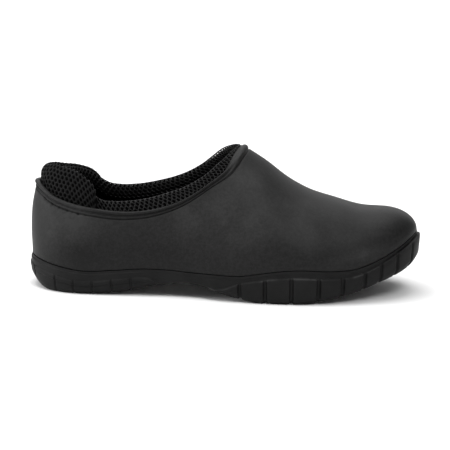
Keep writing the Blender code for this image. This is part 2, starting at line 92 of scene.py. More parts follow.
# Side-view curves, as rows of distance along the shoe and height.
COLLAR = (
    (0, 79.2), (6, 77.6), (11, 75.0), (18, 71.0), (26, 68.2), (37, 65.6), (50, 63.6), (67, 61.9),
    (80, 62.1), (95, 64.4), (115, 71.8), (134, 84.4), (149, 96.6), (157.5, 107.8), (175, 128.0),
    (200, 160.0), (240, 220.0), (290, 295.0),
)
LINING_TOP = (
    (0, 88.5), (22, 88.2), (30, 86.9), (42, 82.6), (53, 75.2), (58, 72.4), (64, 71.0), (76, 71.6),
    (95, 75.5), (105, 78.5), (115, 82.7), (124, 87.9), (134, 95.7), (149, 107.8), (157, 110.0),
    (175, 126.0), (290, 290.0),
)
# The lining's top edge on the outer side, which lies lower in front of the heel pad.
LINING_TOP_OUTER = (
    (0, 88.5), (7, 88.5), (14, 90.2), (22, 90.4), (30, 88.4), (40, 83.0), (46, 77.4), (51, 71.6),
    (56, 69.0), (64, 68.3), (76, 68.9), (95, 72.8), (105, 76.4), (115, 80.4), (124, 85.5), (134, 92.1),
    (149, 104.6), (157, 109.6), (175, 126.0), (290, 290.0),
)
HEEL_PAD_TOP = (
    (0, 91.7), (8, 91.0), (17, 89.4), (27, 88.2), (36, 86.0), (41, 84.2), (45, 81.6), (49, 77.3), (51, 72.5),
    (52, 67.0),
)
# The heel pad's top edge on the outer side, where the padding stands higher.
HEEL_PAD_TOP_OUTER = (
    (0, 91.7), (4, 92.8), (10, 93.2), (15, 93.1), (20, 92.5), (27, 91.7), (33, 90.2), (40, 86.5), (46, 82.7),
    (50, 77.6), (52, 70.5),
)
TREAD = (
    (0, 8.0), (4, 5.6), (10, 2.0), (16, 0.0), (30, -0.8), (46, 0.0), (62, 1.8), (74, 3.2), (85, 5.4),
    (97, 8.6), (107, 10.3), (120, 10.8), (131, 9.9), (142, 6.6), (154, 3.6), (166, 1.2), (174, 0.0),
    (188, -0.8), (203, 0.0), (212, 0.9), (224, 2.6), (235, 5.0), (247, 8.4), (258, 12.2), (270, 16.2),
    (281, 20.7), (290, 26.4),
)
FOOTBED = (
    (0, 20.0), (60, 20.0), (100, 21.0), (130, 18.0), (160, 14.0), (200, 12.0), (225, 13.5),
    (245, 17.0), (262, 22.0), (276, 27.0), (290, 32.0),
)
# The lugs' top edge, as rows of distance along the shoe and drop below the feather line.
LUG_TOP_DROP = (
    (0, 6.8), (19, 7.6), (32, 8.3), (46, 8.1), (60, 7.6), (73, 7.2), (88, 7.0), (93, 7.6), (98.5, 10.4),
    (120, 7.4), (132, 7.8), (140, 11.2), (148, 10.4), (158, 6.6), (175, 5.5), (196, 6.0), (231, 6.0),
    (259, 4.9), (273, 4.2), (290, 4.2),
)
# The back of the heel, as rows of height and distance along the shoe.
HEEL_BACK = ((15, 1.9), (24, 1.5), (45, 0.5), (60, 1.2), (74, 3.6), (82, 4.8), (87, 6.2), (93, 9.0))

# Upper: wall, end of the toe, and where its main rings cross the ridge of the instep.
WALL = 2.6
UPPER_INSET = 1.5
UPPER_TOE_INSET = 2.5
TOE_TIP = LENGTH - UPPER_TOE_INSET
TOE_ROUND_START = 262.0
QUARTER_BULGE = 0.025
LEAN_POWER = 1.6
LEAN_LIMIT = 1.7
LEAST_RISE = 0.01
RING_SEARCH_START = 100.0
RING_SEARCH_STEPS = 8
# Over this length a loop's outer side comes to the height of its inner side at the front.
RING_JOIN = 9.0
RING_ENDS = (287.2, 286.3, 283.0, 276.0, 263.0, 246.0, 227.0, 208.0, 192.0, 180.0, 171.0, 166.5)
UPPER_ROWS = 88
UPPER_STEPS = 170
INSIDE_ROW_SKIP = 8
# The foot's edge: rows of lift and step out of the wall, and the gap to the next row.
FOOT_EDGE = ((0.0, -0.8), (0.12, -0.35), (0.4, -0.08), (0.9, 0.0))
FOOT_GAP = 0.4

# Collar bead with the groove below it: rows of drop below the rim line, step out of the wall, and step at the
# throat's end, where the bead is one round cord.
BEAD = (
    (8.4, 0.0, 0.0), (7.2, 0.0, 0.0), (6.3, 0.02, 0.0), (5.85, -0.1, -0.05), (5.55, -0.6, -0.4),
    (5.2, -0.9, -0.65), (4.9, -0.7, -0.4), (4.65, -0.1, 0.2), (4.3, 0.22, 0.6), (3.85, 0.2, 0.95),
    (3.45, -0.2, 1.15), (3.05, -0.65, 1.3), (2.65, -0.6, 1.4), (2.35, -0.1, 1.42), (2.05, 0.45, 1.4),
    (1.65, 0.95, 1.3), (1.2, 1.2, 1.15), (0.75, 1.15, 0.95), (0.4, 0.85, 0.65), (0.15, 0.4, 0.3),
    (0.0, -0.1, -0.1),
)
THROAT_START, THROAT_END = 144.0, 156.0
# Where the rim turns to at the throat's end.
THROAT_RIM = (1.3, 0.0, 0.25)
# The rim: rows of drop below the rim line and step out of the wall.
RIM = ((-0.22, -0.8), (-0.3, -1.4), (-0.15, -2.1), (0.3, -WALL))
BEAD_FOOT = BEAD[0][0]
SLOPE_STEP = 0.5
# Nicks that trimming left on the outer side, in the groove and at the sole's edge: rows of place and depth.
COLLAR_NICKS = (
    (12.5, 1.0), (15.5, 0.7), (18.5, 1.5), (21.2, 0.9), (24.0, 1.6), (27.0, 1.0), (30.2, 1.5), (34.0, 0.7),
    (38.5, 1.6), (44.0, 0.5),
)
# The collar's nicks: middle and reach below the rim, half length, and how much painted shade darkens them.
COLLAR_NICK_DROP = (5.6, 0.9)
NICK_HALF_LENGTH = 1.0
NICK_PAINTED_SHADE = 0.6
SEAM_NICKS = ((62.5, 0.5), (126.5, 0.4), (143.5, 0.6))
SEAM_NICK_RISE = 0.5
# The bead's size along the shoe, as rows of distance and share: it narrows beside the throat.
BEAD_SHARE = ((0, 1.0), (85, 1.0), (109, 0.8), (122, 0.68), (140, 0.68), (157, 1.0))

# Soft hollows and swells of the upper, placed in the side view: rows of x, z, side (-1 is the outer
# side), turn, half length, half width and height. They fade out near the foot, the bead and the ridge.
FOLDS = (
    (92, 44, -1, 4, 52, 12, -0.55),
    (88, 44, 1, 4, 50, 12, -0.5),
    (203, 52, -1, -58, 26, 7.5, -0.45),
    (214, 50, -1, -60, 24, 6.5, 0.35),
    (229, 45, -1, -66, 22, 7.5, -0.4),
    (206, 52, 1, -56, 25, 8, -0.5),
    (222, 48, 1, -62, 24, 8, 0.35),
    (170, 66, -1, -48, 24, 12, 0.4),
    (150, 42, -1, -10, 30, 10, 0.35),
    (262, 46, -1, -12, 20, 7, -0.3),
    (40, 42, -1, 80, 20, 14, 0.35),
    (42, 40, 1, 82, 20, 14, 0.3),
)
FOLD_ROWS = (4, 16)
FOLD_TOP_ROWS = 10
RIDGE_FADE = (0.05, 0.3)
# Soft patches on the upper, as the photo shows them, in the same columns: partly pale bloom and partly
# painted light and painted shade, such as a paler top to the heel and a darker foot to the quarter.
BLOOM_AND_PAINTED_LIGHT = (
    (205, 65, -1, 80, 12, 5, 0.22),
    (226, 63, -1, -30, 11, 5, 0.2),
    (211, 47, -1, 85, 12, 5, 0.22),
    (235, 50, -1, -30, 15, 6, 0.2),
    (168, 52, -1, 20, 22, 11, 0.3),
    (160, 76, -1, 45, 28, 16, 0.35),
    (250, 36, -1, 12, 24, 5, 0.9),
    (28, 60, -1, 70, 24, 18, 0.9),
    (138, 62, -1, 70, 20, 14, 0.25),
    (36, 30, -1, 0, 18, 8, -0.3),
    (217, 57, -1, -20, 12, 5, -0.15),
    (256, 45, -1, 15, 18, 3.5, -0.2),
    (95, 34, -1, 3, 60, 10, -0.15),
    (205, 62, 1, -50, 24, 9, 0.5),
    (170, 46, 1, 25, 18, 9, 0.4),
    (240, 48, 1, -20, 18, 7, 0.4),
    (30, 48, 1, 85, 24, 10, 0.4),
)
# Painted light: the upper grows paler over this rise above its foot, as if lit from above; and its bead is
# darker.
PAINTED_LIGHT_RISE = 45.0
PAINTED_TOP_LIGHT = 0.55
BEAD_LOSS = 0.45
# How many of the bead's rows lie above its lower line.
BEAD_ROWS = 17

# Lining and heel pad.
LINING_THICKNESS = 2.2
SOFT_GAP = 0.6
LINING_FOOT = 0.35
LINING_ROWS = 40
LINING_STEPS = 120
# The lining's edge meets the bead at the throat: where it starts to, how far down, and how far it moves.
LINING_END = (146.0, 153.0)
LINING_END_POWER = 6
LINING_END_SHIFT = (2.2, 0.0, 1.3)
# The padded roll along the collar's inside: how far it bulges, and how far down it goes.
ROLL_BULGE = 3.0
ROLL_LENGTH = 15.0
PAD_THICKNESS = 5.0
PAD_EDGE_THICKNESS = 2.4
PAD_THIN_START = 20.0
PAD_FRONT = 52.0
PAD_BLEND_END = 66.0
PAD_FOOT = 45.0
PAD_OVERHANG = 1.0
PAD_OVERHANG_RISE = (1.5, 7.0)

# Outsole: insets from its outline, and heights from the feather line or the tread.
SHELF_INNER = 4.9
BED_INSET = 5.8
BAND_FOOT_RISE = 0.8
LIP_HEIGHT = 1.5
BAND_STEP = 0.2
BAND_TOP_DROP = 2.6
LUG_FOOT = 3.6
LUG_FOOT_INSET = 0.8
TREAD_EDGE_INSET = 4.0
LUG_INSIDE = 14.5
FIELD_INSIDE = 15.2
FIELD_DEPTH = 1.8
GROOVE_FLOOR = 0.7
GROOVE_EDGE = 1.9
GROOVE_DEPTH = 2.0
GROOVE_STATIONS = (-2.6, -1.9, -1.6, -1.25, -0.9, -0.5, 0.0, 0.5, 0.9, 1.25, 1.6, 1.9, 2.6)
GROOVE_FOOT_SHARE = 0.6
# A fine step line along the heel's lugs: rows of drop below their top and step in, and where it ends.
HEEL_LINE = ((2.6, 0.1), (3.0, 0.75), (3.5, 0.55))
HEEL_LINE_END = (84.0, 96.0)
HEEL_LINE_ROOM = 0.8
# How far the lip stands out, and how far the band behind the heel's lugs is filled up.
LIP_EDGE = 0.2
HEEL_BAND_FILL = 1.1
HEEL_BAND_END = (80.0, 100.0)
HEEL_GROOVE_WIDTH = 0.62
HEEL_GROOVE_SHARE = 0.42
# Grooves between the lugs on the outer side (-1) and the inner side (1): places from the heel's tip along
# the edge, places along the shoe, and the place before the toe's tip along the edge.
HEEL_TIP_GROOVES = {-1: (4.7, 19.5), 1: (10.4, 22.7)}
HEEL_GROOVES = {-1: (21.8, 36.0, 50.2, 64.5, 78.8), 1: (28.4, 42.7, 56.9, 70.6, 83.9)}
FORE_GROOVES = {
    -1: (160.0, 179.0, 198.5, 218.5, 236.0, 252.0, 263.5, 275.0),
    1: (160.0, 175.0, 190.0, 204.5, 217.0, 231.0, 248.0, 271.0),
}
TOE_TIP_GROOVE = 19.5
ARCH_START, ARCH_END = 98.0, 137.5
ARCH_EDGE = 1.5

# How far each corner of the sole's profile is rounded, from the footbed down to the tread field.
PROFILE_ROUND = (0.0, 0.6, 0.55, 0.4, 0.5, 0.35, 0.9, 0.3, 0.3, 0.3, 2.0, 1.2, 0.35, 0.0)
ROUND_STEPS = 4

# Hexagon tread pads.
HEX_PITCH = 13.0
HEX_FLATS = 10.4
HEX_MARGIN = 1.0
HEX_SMALLEST = 0.55
HEX_COLUMNS = 5
# Rows of height above the tread and how far a pad's outline grows there.
HEX_PROFILE = ((0.0, -0.9), (0.0, -0.45), (0.12, -0.14), (0.45, 0.0), (1.4, 0.2), (3.0, 0.4))
HEX_CORNER = 0.9
PULL_STEPS = 12
EDGE_SKIP = 4
CORNER_LIMIT = 0.45
# How many points fill a lug, the arch and the caps across the shoe.
BLOCK_FILLS = 5
ARCH_FILLS = 30
CAP_COLUMNS = 24
# Plain mould marks on the underside: place, radius, half width and how far they stand out.
ARCH_RING = (124.0, 1.0, 8.6, 0.5, 0.35)
TOE_MARK = (279.5, 9.0, 3.6, 0.6, 0.6)
RING_POINTS = 64
RING_SIDES = 8

# Insole liner.
INSOLE_THICKNESS = 4.0
INSOLE_INSET = 8.5
INSOLE_STEPS = 90
# Rows of inset from the liner's outline and height above its underside.
INSOLE_PROFILE = ((0.4, 0.0), (0.0, 0.5), (0.0, 3.2), (0.35, 3.85), (1.2, 4.1), (3.5, 4.0))

# Greys of the materials, how strongly they mirror and how rough they are.
UPPER_DARK, UPPER_MIDDLE, UPPER_PALE = 0.0065, 0.0125, 0.026
UPPER_SPECULAR = 0.14
# The sole's palest grey is a painted highlight along its lugs' top edges.
SOLE_DARK, SOLE_PALE, SOLE_HIGHLIGHT = 0.0055, 0.0095, 0.028
SOLE_SPECULAR = 0.12
# The foam's greys are near black, so that they also paint the shade inside the knitted holes.
FOAM_GREYS, CLOTH_GREYS, FLOOR_GREYS = (0.0008, 0.0016), (0.006, 0.011), (0.84, 0.88)
FOAM_SPECULAR, MATTE_SPECULAR = 0.02, 0.2
UPPER_ROUGH, SOLE_ROUGH, FOAM_ROUGH, MATTE_ROUGH = 0.5, 0.58, 0.95, 0.9
YARN_SHEEN, YARN_SHEEN_ROUGH = 0.02, 0.4
# The painted highlight along the lugs' top edges: how far it fades up and down, and its share at the heel.
HIGHLIGHT_REACH = 0.7
HIGHLIGHT_AT_HEEL = 0.35
# Sizes of the materials' patterns and depths of relief in metres, and the range that clouds fill.
UPPER_CLOUD, SOLE_CLOUD, FLOOR_CLOUD = 0.022, 0.012, 0.35
SPECKLES = (0.0024, 0.0011)
UPPER_PEEL, UPPER_GRAIN, SOLE_GRAIN = 0.0035, 0.0007, 0.0006
YARN_CLOUD, YARN_FIBRE = 0.0016, 0.00025
FOAM_CLOUD, CLOTH_CLOUD, CLOTH_WEAVE = 0.001, 0.004, 0.0005
FINE_RELIEF, DEEP_RELIEF = 0.0001, 0.0002
CLOUD_RANGE = (0.3, 0.75)
COLLAR_YARN = {"shade": 0.0005, "dark": 0.0045, "pale": 0.0085, "specular": 0.15, "roughness": 0.36}
HEEL_YARN = {"shade": 0.0005, "dark": 0.004, "pale": 0.0075, "specular": 0.07, "roughness": 0.5}

# Knitted faces. Their edge's lift and rows, and the share of a row that stays open below it.
EDGE_LIFT = 1.1
EDGE_ROWS = 5
OPEN_EDGE = 0.75
# The cord along that edge: radius on the inner and the outer side, reach of the change, number of sides.
EDGE_CORD = 0.45
EDGE_CORD_OUTER = 0.22
CORD_BLEND = 12.0
EDGE_CORD_SIDES = 6
KNIT_OUTSIDE = 13.0
KNIT_INSIDE = 13.2
# Where painted shade starts to darken the yarn down the inside of the collar, and where it is darkest.
YARN_PAINTED_SHADE = (0.5, 6.0)
# Spacing of the carrier's rows, taper of a hole, cells of the weld to a mm, and a margin at the last row.
KNIT_SPACING = 0.4
HOLE_TAPER = 0.9
WELD_CELLS = 200
LEVEL_MARGIN = 1.001
# Cells round the collar and on the heel pad, with the sizes of their holes in mm.
COLLAR_COLUMNS = 140
COLLAR_ROW = 2.6
COLLAR_HOLE = {
    "pitch_u": 3.5, "across": 1.2, "along": 1.6, "power": 1.3, "start": 1.3,
    "crest": 0.45, "saddle": 0.3, "rim": 0.05, "floor": -0.25,
}
PAD_ROW = 3.1
PAD_HOLE = {
    "pitch_u": 3.7, "across": 1.2, "along": 1.4, "power": 1.8, "start": 0.0,
    "crest": 0.42, "saddle": 0.3, "rim": 0.05, "floor": -0.25,
}
PAD_COLUMNS = 60
PAD_ROWS = 30
PAD_ROW_POWER = 1.6
PAD_FINE_COLUMNS = 241
PAD_END_ROUND = 0.08
PAD_CROWN_ROUND = 0.12
PAD_THINNEST = 0.06
PAD_KNIT_DOWN = 42.0
PAD_KNIT_IN = 5.0
PAD_KNIT_EDGE = 0.6

# Camera: elevation, yaw and roll in degrees, and the rest in metres but for the sensor in millimetres.
CAMERA_TURNS = (12.0, 4.0, -0.9)
CAMERA_DISTANCE = 3.0
CAMERA_TARGET = (0.0, 0.0, 0.047)
FRAME_WIDTH = 0.335
SENSOR_WIDTH = 36.0

# Stage: a floor that bends up into a backdrop, and lights as rows of name, place, target, size and power.
FLOOR_FRONT, FLOOR_BACK = -4.0, 1.8
FLOOR_BEND = 1.2
BEND_STEPS = 12
BACKDROP_TOP = 4.5
FLOOR_HALF_WIDTH = 5.0
WORLD_STRENGTH = 0.17
LIGHTS = (
    ("top_light", (-0.3, 0.25, 1.6), (0, 0.1, 0.0), (2.2, 1.8), 40),
    ("back_light", (0.0, 2.2, 1.6), (0, 2.6, 0.8), (3.0, 1.0), 22),
    ("heel_light", (-1.3, -0.25, 0.5), (-0.1, 0, 0.05), (0.4, 0.8), 12),
    ("front_fill", (0.1, -2.0, 0.42), (0, 0, 0.05), (1.6, 0.5), 3),
    ("right_key", (0.6, -1.0, 1.4), (0.03, 0, 0.05), (0.8, 0.8), 14),
)


def curve(x, rows):
    """A smooth curve through (position, value) rows, held level past its ends."""
    knots, values = np.array(rows, float).T
    x = np.clip(np.asarray(x, float), knots[0], knots[-1])
    slopes = np.gradient(values, knots)
    i = np.clip(np.searchsorted(knots, x, side="right") - 1, 0, len(knots) - 2)
    span = knots[i + 1] - knots[i]
    t = (x - knots[i]) / span
    start = values[i] * (1 + 2 * t) * (1 - t) ** 2 + slopes[i] * span * t * (1 - t) ** 2
    end = values[i + 1] * t * t * (3 - 2 * t) + slopes[i + 1] * span * t * t * (t - 1)
    return start + end


def unit(vectors):
    """Vectors brought to length 1."""
    return vectors / np.maximum(np.linalg.norm(vectors, axis=-1, keepdims=True), TINY)


def lengths_along(points):
    """Distances along rows of points, counted from the first row."""
    steps = np.linalg.norm(np.diff(points, axis=0), axis=-1)
    return np.concatenate([np.zeros_like(steps[:1]), np.cumsum(steps, axis=0)])


def bell(x, reach):
    """A soft bump of height 1 that fades over a reach."""
    return np.exp(-((np.asarray(x, float) / reach) ** 2))


def section(x, column):
    """One named column of the last's sections at x."""
    j = SECTION_COLUMNS.index(column)
    return curve(x, [(row[0], row[j]) for row in SECTIONS])


def smoothstep(x, start, end):
    t = np.clip((np.asarray(x, float) - start) / (end - start), 0.0, 1.0)
    return t * t * (3 - 2 * t)


def tread(x):
    """Height of the sole's underside, flat on the floor under the heel and the ball."""
    return np.maximum(curve(x, TREAD), 0.0)


def feather(x):
    """Height of the line where the upper meets the sole."""
    return section(x, "feather")


def ridge(x):
    """Height of the upper's top line, which rounds over at the toe."""
    along = np.clip((np.asarray(x, float) - TOE_ROUND_START) / (TOE_TIP - TOE_ROUND_START), 0.0, 1.0)
    tip = feather(TOE_TIP)
    return tip + (section(x, "ridge") - tip) * np.sqrt(1 - along**2)


def toe_round(x, tip):
    along = np.clip((np.asarray(x, float) - TOE_ARC_START) / (tip - TOE_ARC_START), 0.0, 1.0)
    return (1 - along**TOE_FULLNESS) ** (1 / TOE_FULLNESS)


def heel_round(x, back):
    short = np.clip((back + HEEL_ARC - np.asarray(x, float)) / HEEL_ARC, 0.0, 1.0)
    return np.sqrt(1 - short**2)


def upper_inset(x):
    """How far the upper stands inside the sole's outline."""
    return UPPER_INSET + (UPPER_TOE_INSET - UPPER_INSET) * smoothstep(x, TOE_ROUND_START, LENGTH)


def rise(x, z):
    """How far up a height lies between the feather line and the ridge, from 0 to 1."""
    foot = feather(x)
    return np.clip((z - foot) / np.maximum(ridge(x) - foot, LEAST_RISE), 0.0, 1.0)


def last_half_width(x, z):
    """Half width of the last at a place along the shoe and a height."""
    back = curve(z, HEEL_BACK)
    plan = section(x, "half_width") - upper_inset(x)
    plan = plan * heel_round(x, back) * toe_round(x, TOE_TIP)
    vault = (1 - rise(x, z) ** 2) ** (1 / section(x, "roundness"))
    foot = feather(x)
    wall = np.clip((z - foot) / (curve(x, COLLAR) - foot), 0.0, LEAN_LIMIT)
    bulge = QUARTER_BULGE * np.sin(math.pi * np.minimum(wall, 1.0))
    return plan * vault * (1 + bulge - section(x, "lean") * wall**LEAN_POWER)


def centre_line(x):
    """The sole's middle line, which runs straight into the heel."""
    return section(x, "centre") * smoothstep(x, 0.0, HEEL_ARC)


def last_point(x, z, side):
    """A point of the last's surface; side is -1 on the outer side and 1 on the inner side."""
    middle = centre_line(x) + section(x, "ridge_y") * rise(x, z) ** 2
    y = middle + side * last_half_width(x, z)
    return np.stack([x, y, z], axis=-1)


def halve(holds, low, high, steps):
    """The highest value at which a test still holds, found by halving."""
    for _ in range(steps):
        middle = (low + high) / 2
        low, high = (middle, high) if holds(middle) else (low, middle)
    return low


def ring_end(height):
    """Where a side-view curve meets the ridge at the front."""
    return halve(lambda x: height(x) < ridge(x), RING_SEARCH_START, TOE_TIP, HALVINGS)


def ring_start(height):
    """Where a side-view curve meets the back of the heel."""
    back = 0.0
    for _ in range(RING_SEARCH_STEPS):
        back = float(curve(height(back), HEEL_BACK))
    return back


def ring(height, steps, outer_height=None):
    """A closed loop round the last along a side-view curve, from the heel by the outer side."""
    start, end = ring_start(height), ring_end(height)
    turn = np.linspace(0.0, math.pi, steps + 1)
    x = start + (end - start) * (1 - np.cos(turn)) / 2
    z = outer_z = height(x)
    if outer_height:
        outer_z = outer_height(x) + (z - outer_height(x)) * smoothstep(x, end - RING_JOIN, end)
    outer = last_point(x, outer_z, -1)
    inner = last_point(x, z, 1)
    middle = last_point(x, z, 0)
    outer[[0, -1]] = middle[[0, -1]]
    return np.concatenate([outer, inner[-2:0:-1]])


def under_collar(drop):
    """The rim's side-view curve moved down by a distance along the wall."""

    def height(x):
        slope = (curve(x + SLOPE_STEP, COLLAR) - curve(x - SLOPE_STEP, COLLAR)) / (2 * SLOPE_STEP)
        return curve(x, COLLAR) - drop * curve(x, BEAD_SHARE) * np.sqrt(1 + slope**2)

    return height


def through(rows):
    """The side-view curve through a table's rows."""
    return lambda x: curve(x, rows)


def between(low, high, share):
    """A side-view curve between two others."""
    return lambda x: low(x) + share * (high(x) - low(x))


def above_feather(rise_mm):
    return lambda x: feather(x) + rise_mm


def normals(grid, level_foot=False):
    """Outward unit normals of a grid of closed loops; a level foot keeps its first row horizontal."""
    around = np.roll(grid, -1, axis=1) - np.roll(grid, 1, axis=1)
    normal = np.cross(around, np.gradient(grid, axis=0))
    if level_foot:
        normal[0, :, 2] = 0.0
    return unit(normal)


def grid_faces(rows, count, close_rows=False, close_loop=True):
    """Quads of a grid of loops, as an array of vertex numbers."""
    j = np.arange(rows if close_rows else rows - 1)
    i = np.arange(count if close_loop else count - 1)
    j, i = (a.ravel() for a in np.meshgrid(j, i, indexing="ij"))
    k, n = (j + 1) % rows, (i + 1) % count
    return np.stack([j * count + i, j * count + n, k * count + n, k * count + i], axis=1)


def tube(loops):
    """Points and faces of closed loops joined into a closed surface."""
    return loops.reshape(-1, 3), grid_faces(*loops.shape[:2], close_rows=True)


def make_piece(name, points, faces, material, slot, node=None):
    """A smooth-shaded piece in the row frame that rides on the shoe."""
    mesh = bpy.data.meshes.new(name)
    mesh.from_pydata(((np.asarray(points) + TO_ROW) * MM).tolist(), [], [list(map(int, f)) for f in faces])
    mesh.validate()
    mesh.shade_smooth()
    mesh.materials.append(material)
    obj = bpy.data.objects.new(name, mesh)
    bpy.context.scene.collection.objects.link(obj)
    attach(obj, "root")
    if node:
        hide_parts(node)
    return obj


def keep_value(obj, name, values):
    """Keeps a value at each of a piece's points for its material to read."""
    layer = obj.data.attributes.new(name, "FLOAT", "POINT")
    layer.data.foreach_set("value", np.ravel(values).astype(np.float32))


def side_signs(rings):
    """-1 for the columns of the outer side and 1 for those of the inner side."""
    return np.where(np.arange(rings.shape[1]) <= UPPER_STEPS, -1.0, 1.0)[None, :]


def soft_spots(points, side_sign, rows):
    """Sum of hand-placed soft spots at points of the upper."""
    total = np.zeros(points.shape[:2])
    for x, z, side, turn, half_length, half_width, height in rows:
        c, s = math.cos(math.radians(turn)), math.sin(math.radians(turn))
        dx, dz = points[:, :, 0] - x, points[:, :, 2] - z
        along = (dx * c + dz * s) / half_length
        across = (dz * c - dx * s) / half_width
        bump = height * np.exp(-(along**2) - across**2)
        total += bump * np.clip(side_sign * side, 0.0, 1.0)
    return total


def nicks(points, side_sign, rows):
    """Depth of small nicks at points of the upper's outer side."""
    total = np.zeros(points.shape[:2])
    for x, depth in rows:
        total += depth * bell(points[:, :, 0] - x, NICK_HALF_LENGTH)
    return total * np.clip(-side_sign, 0.0, 1.0)


def collar_nicks(bead_rows, side_sign):
    """Depth of the collar's nicks at the rows of the bead."""
    middle, reach = COLLAR_NICK_DROP
    fade = bell([[drop - middle] for drop, _, _ in BEAD], reach)
    return nicks(bead_rows, side_sign, COLLAR_NICKS) * fade


def upper_curves():
    """Side-view curves up the upper: those of its body, and those of its bead."""
    top = under_collar(BEAD_FOOT)
    marks = np.linspace(0, len(RING_ENDS) - 1, UPPER_ROWS)
    ends = np.interp(marks, np.arange(len(RING_ENDS)), RING_ENDS)
    shares = [float((ridge(x) - feather(x)) / (top(x) - feather(x))) for x in ends]
    body = [above_feather(lift) for lift, _ in FOOT_EDGE]
    first = above_feather(FOOT_EDGE[-1][0] + FOOT_GAP)
    body += [between(first, top, share) for share in shares if share < 1]
    return body, [under_collar(drop) for drop, _, _ in BEAD]


def upper_steps(grid, throat):
    """How far each point of the upper stands out of its plain wall."""
    side = side_signs(grid)
    foot, bead = slice(0, len(FOOT_EDGE)), slice(len(grid) - len(BEAD), len(grid))
    step = np.zeros(grid.shape[:2])
    step[foot] = np.array([[out] for _, out in FOOT_EDGE])
    along, at_throat = (np.array([row[k] for row in BEAD])[:, None] for k in (1, 2))
    step[bead] = along + (at_throat - along) * throat[bead]
    rows = np.arange(len(grid))
    fade = smoothstep(rows, *FOLD_ROWS) * (1 - smoothstep(rows, bead.start - FOLD_TOP_ROWS, bead.start))
    ridge_fade = smoothstep(1 - rise(grid[:, :, 0], grid[:, :, 2]), *RIDGE_FADE)
    step += soft_spots(grid, side, FOLDS) * fade[:, None] * ridge_fade
    step[bead] -= collar_nicks(grid[bead], side)
    seam_fade = bell([[lift] for lift, _ in FOOT_EDGE], SEAM_NICK_RISE)
    step[foot] -= nicks(grid[foot], side, SEAM_NICKS) * seam_fade
    return step


def upper_points():
    """Loops up the outside of the upper, over its rim, and down the inside of its wall."""
    body, bead = upper_curves()
    grid = np.array([ring(height, UPPER_STEPS) for height in body + bead])
    normal = normals(grid, level_foot=True)
    throat = smoothstep(grid[:, :, 0], THROAT_START, THROAT_END)
    outside = grid + normal * upper_steps(grid, throat)[:, :, None]
    over = normal[-1] + (np.array(THROAT_RIM) - normal[-1]) * throat[-1][:, None]
    rim = [ring(under_collar(drop), UPPER_STEPS) + over * out for drop, out in RIM]
    inside = (grid - normal * WALL)[: len(body) + 1 : INSIDE_ROW_SKIP][::-1]
    return outside, np.array(rim), inside


def make_upper(material):
    """The moulded upper, with its patches of bloom, painted light and painted shade kept as a value at each
    point.
    """
    outside, rim, inside = upper_points()
    rings = np.concatenate([outside, rim, inside])
    upper = make_piece("upper_skin", *tube(rings), material, "moulded_upper", "upper")
    side = side_signs(rings)
    height = np.clip((rings[:, :, 2] - feather(rings[:, :, 0])) / PAINTED_LIGHT_RISE, 0.0, 1.0)
    # Bloom mixed with painted light and shade, plus painted light that grows paler with height.
    bloom_and_painted_light = soft_spots(rings, side, BLOOM_AND_PAINTED_LIGHT) + PAINTED_TOP_LIGHT * (height - 0.5)
    bloom_and_painted_light[len(outside) - BEAD_ROWS : len(outside) + len(rim)] -= BEAD_LOSS
    bead = slice(len(outside) - len(BEAD), len(outside))
    # Painted shade in the collar's nicks.
    bloom_and_painted_light[bead] -= NICK_PAINTED_SHADE * collar_nicks(rings[bead], side)
    keep_value(upper, "bloom_and_painted_light", bloom_and_painted_light)


def pad_thickness(x):
    """Thickness of the heel pad, full at the back of the heel and thin at its front edges."""
    return PAD_THICKNESS + (PAD_EDGE_THICKNESS - PAD_THICKNESS) * smoothstep(x, PAD_THIN_START, PAD_FRONT)


def lining_path():
    """The lining's section round the collar: up its outside and up its inside."""
    foot = between(feather, under_collar(BEAD_FOOT), LINING_FOOT)
    top, outer_top = through(LINING_TOP), through(LINING_TOP_OUTER)
    shares = np.linspace(0.0, 1.0, LINING_ROWS + 1)
    rings = [ring(between(foot, top, s), LINING_STEPS, between(foot, outer_top, s)) for s in shares]
    grid = np.array(rings)
    normal = normals(grid)
    x = grid[:, :, 0]
    room = (pad_thickness(x) + CLEARANCE) * (1 - smoothstep(x, PAD_FRONT, PAD_BLEND_END))
    outset = WALL + SOFT_GAP + room
    outside = grid - normal * outset[:, :, None]
    below = np.linalg.norm(grid - grid[-1], axis=2)
    roll = ROLL_BULGE * np.sin(math.pi * np.clip(below / ROLL_LENGTH, 0.0, 1.0))
    inside = grid - normal * (outset + LINING_THICKNESS + roll)[:, :, None]
    end = smoothstep(x, *LINING_END) * shares[:, None] ** LINING_END_POWER
    end = end[:, :, None] * np.array(LINING_END_SHIFT)
    return outside + end, inside + end


def over_edge(outside, inside):
    """Rows up the outside, rounded over the edge and down the inside."""
    a, b = outside[-1], inside[-1]
    middle = (a + b) / 2
    rows = []
    up = np.array([0.0, 0.0, EDGE_LIFT])
    for turn in np.linspace(0.0, math.pi, EDGE_ROWS + 2)[1:-1]:
        rows.append(middle + (a - middle) * math.cos(turn) + up * math.sin(turn))
    return np.concatenate([outside, rows, inside[::-1]])


def lowered_top(rows):
    """A side's rows with the top row moved down by a share of the row spacing."""
    top = rows[-1] + (rows[-2] - rows[-1]) * OPEN_EDGE
    return np.concatenate([rows[:-1], top[None]])


def even_rows(path, zero_row, first, last):
    """A grid's columns resampled at even distances from one of its rows, with each column's far end."""
    length = lengths_along(path)
    length -= length[zero_row]
    v = np.arange(first, last + KNIT_SPACING / 2, KNIT_SPACING)
    columns = []
    for i in range(path.shape[1]):
        columns.append(np.stack([np.interp(v, length[:, i], path[:, i, k]) for k in range(3)], axis=1))
    return np.stack(columns, axis=1), length[-1]


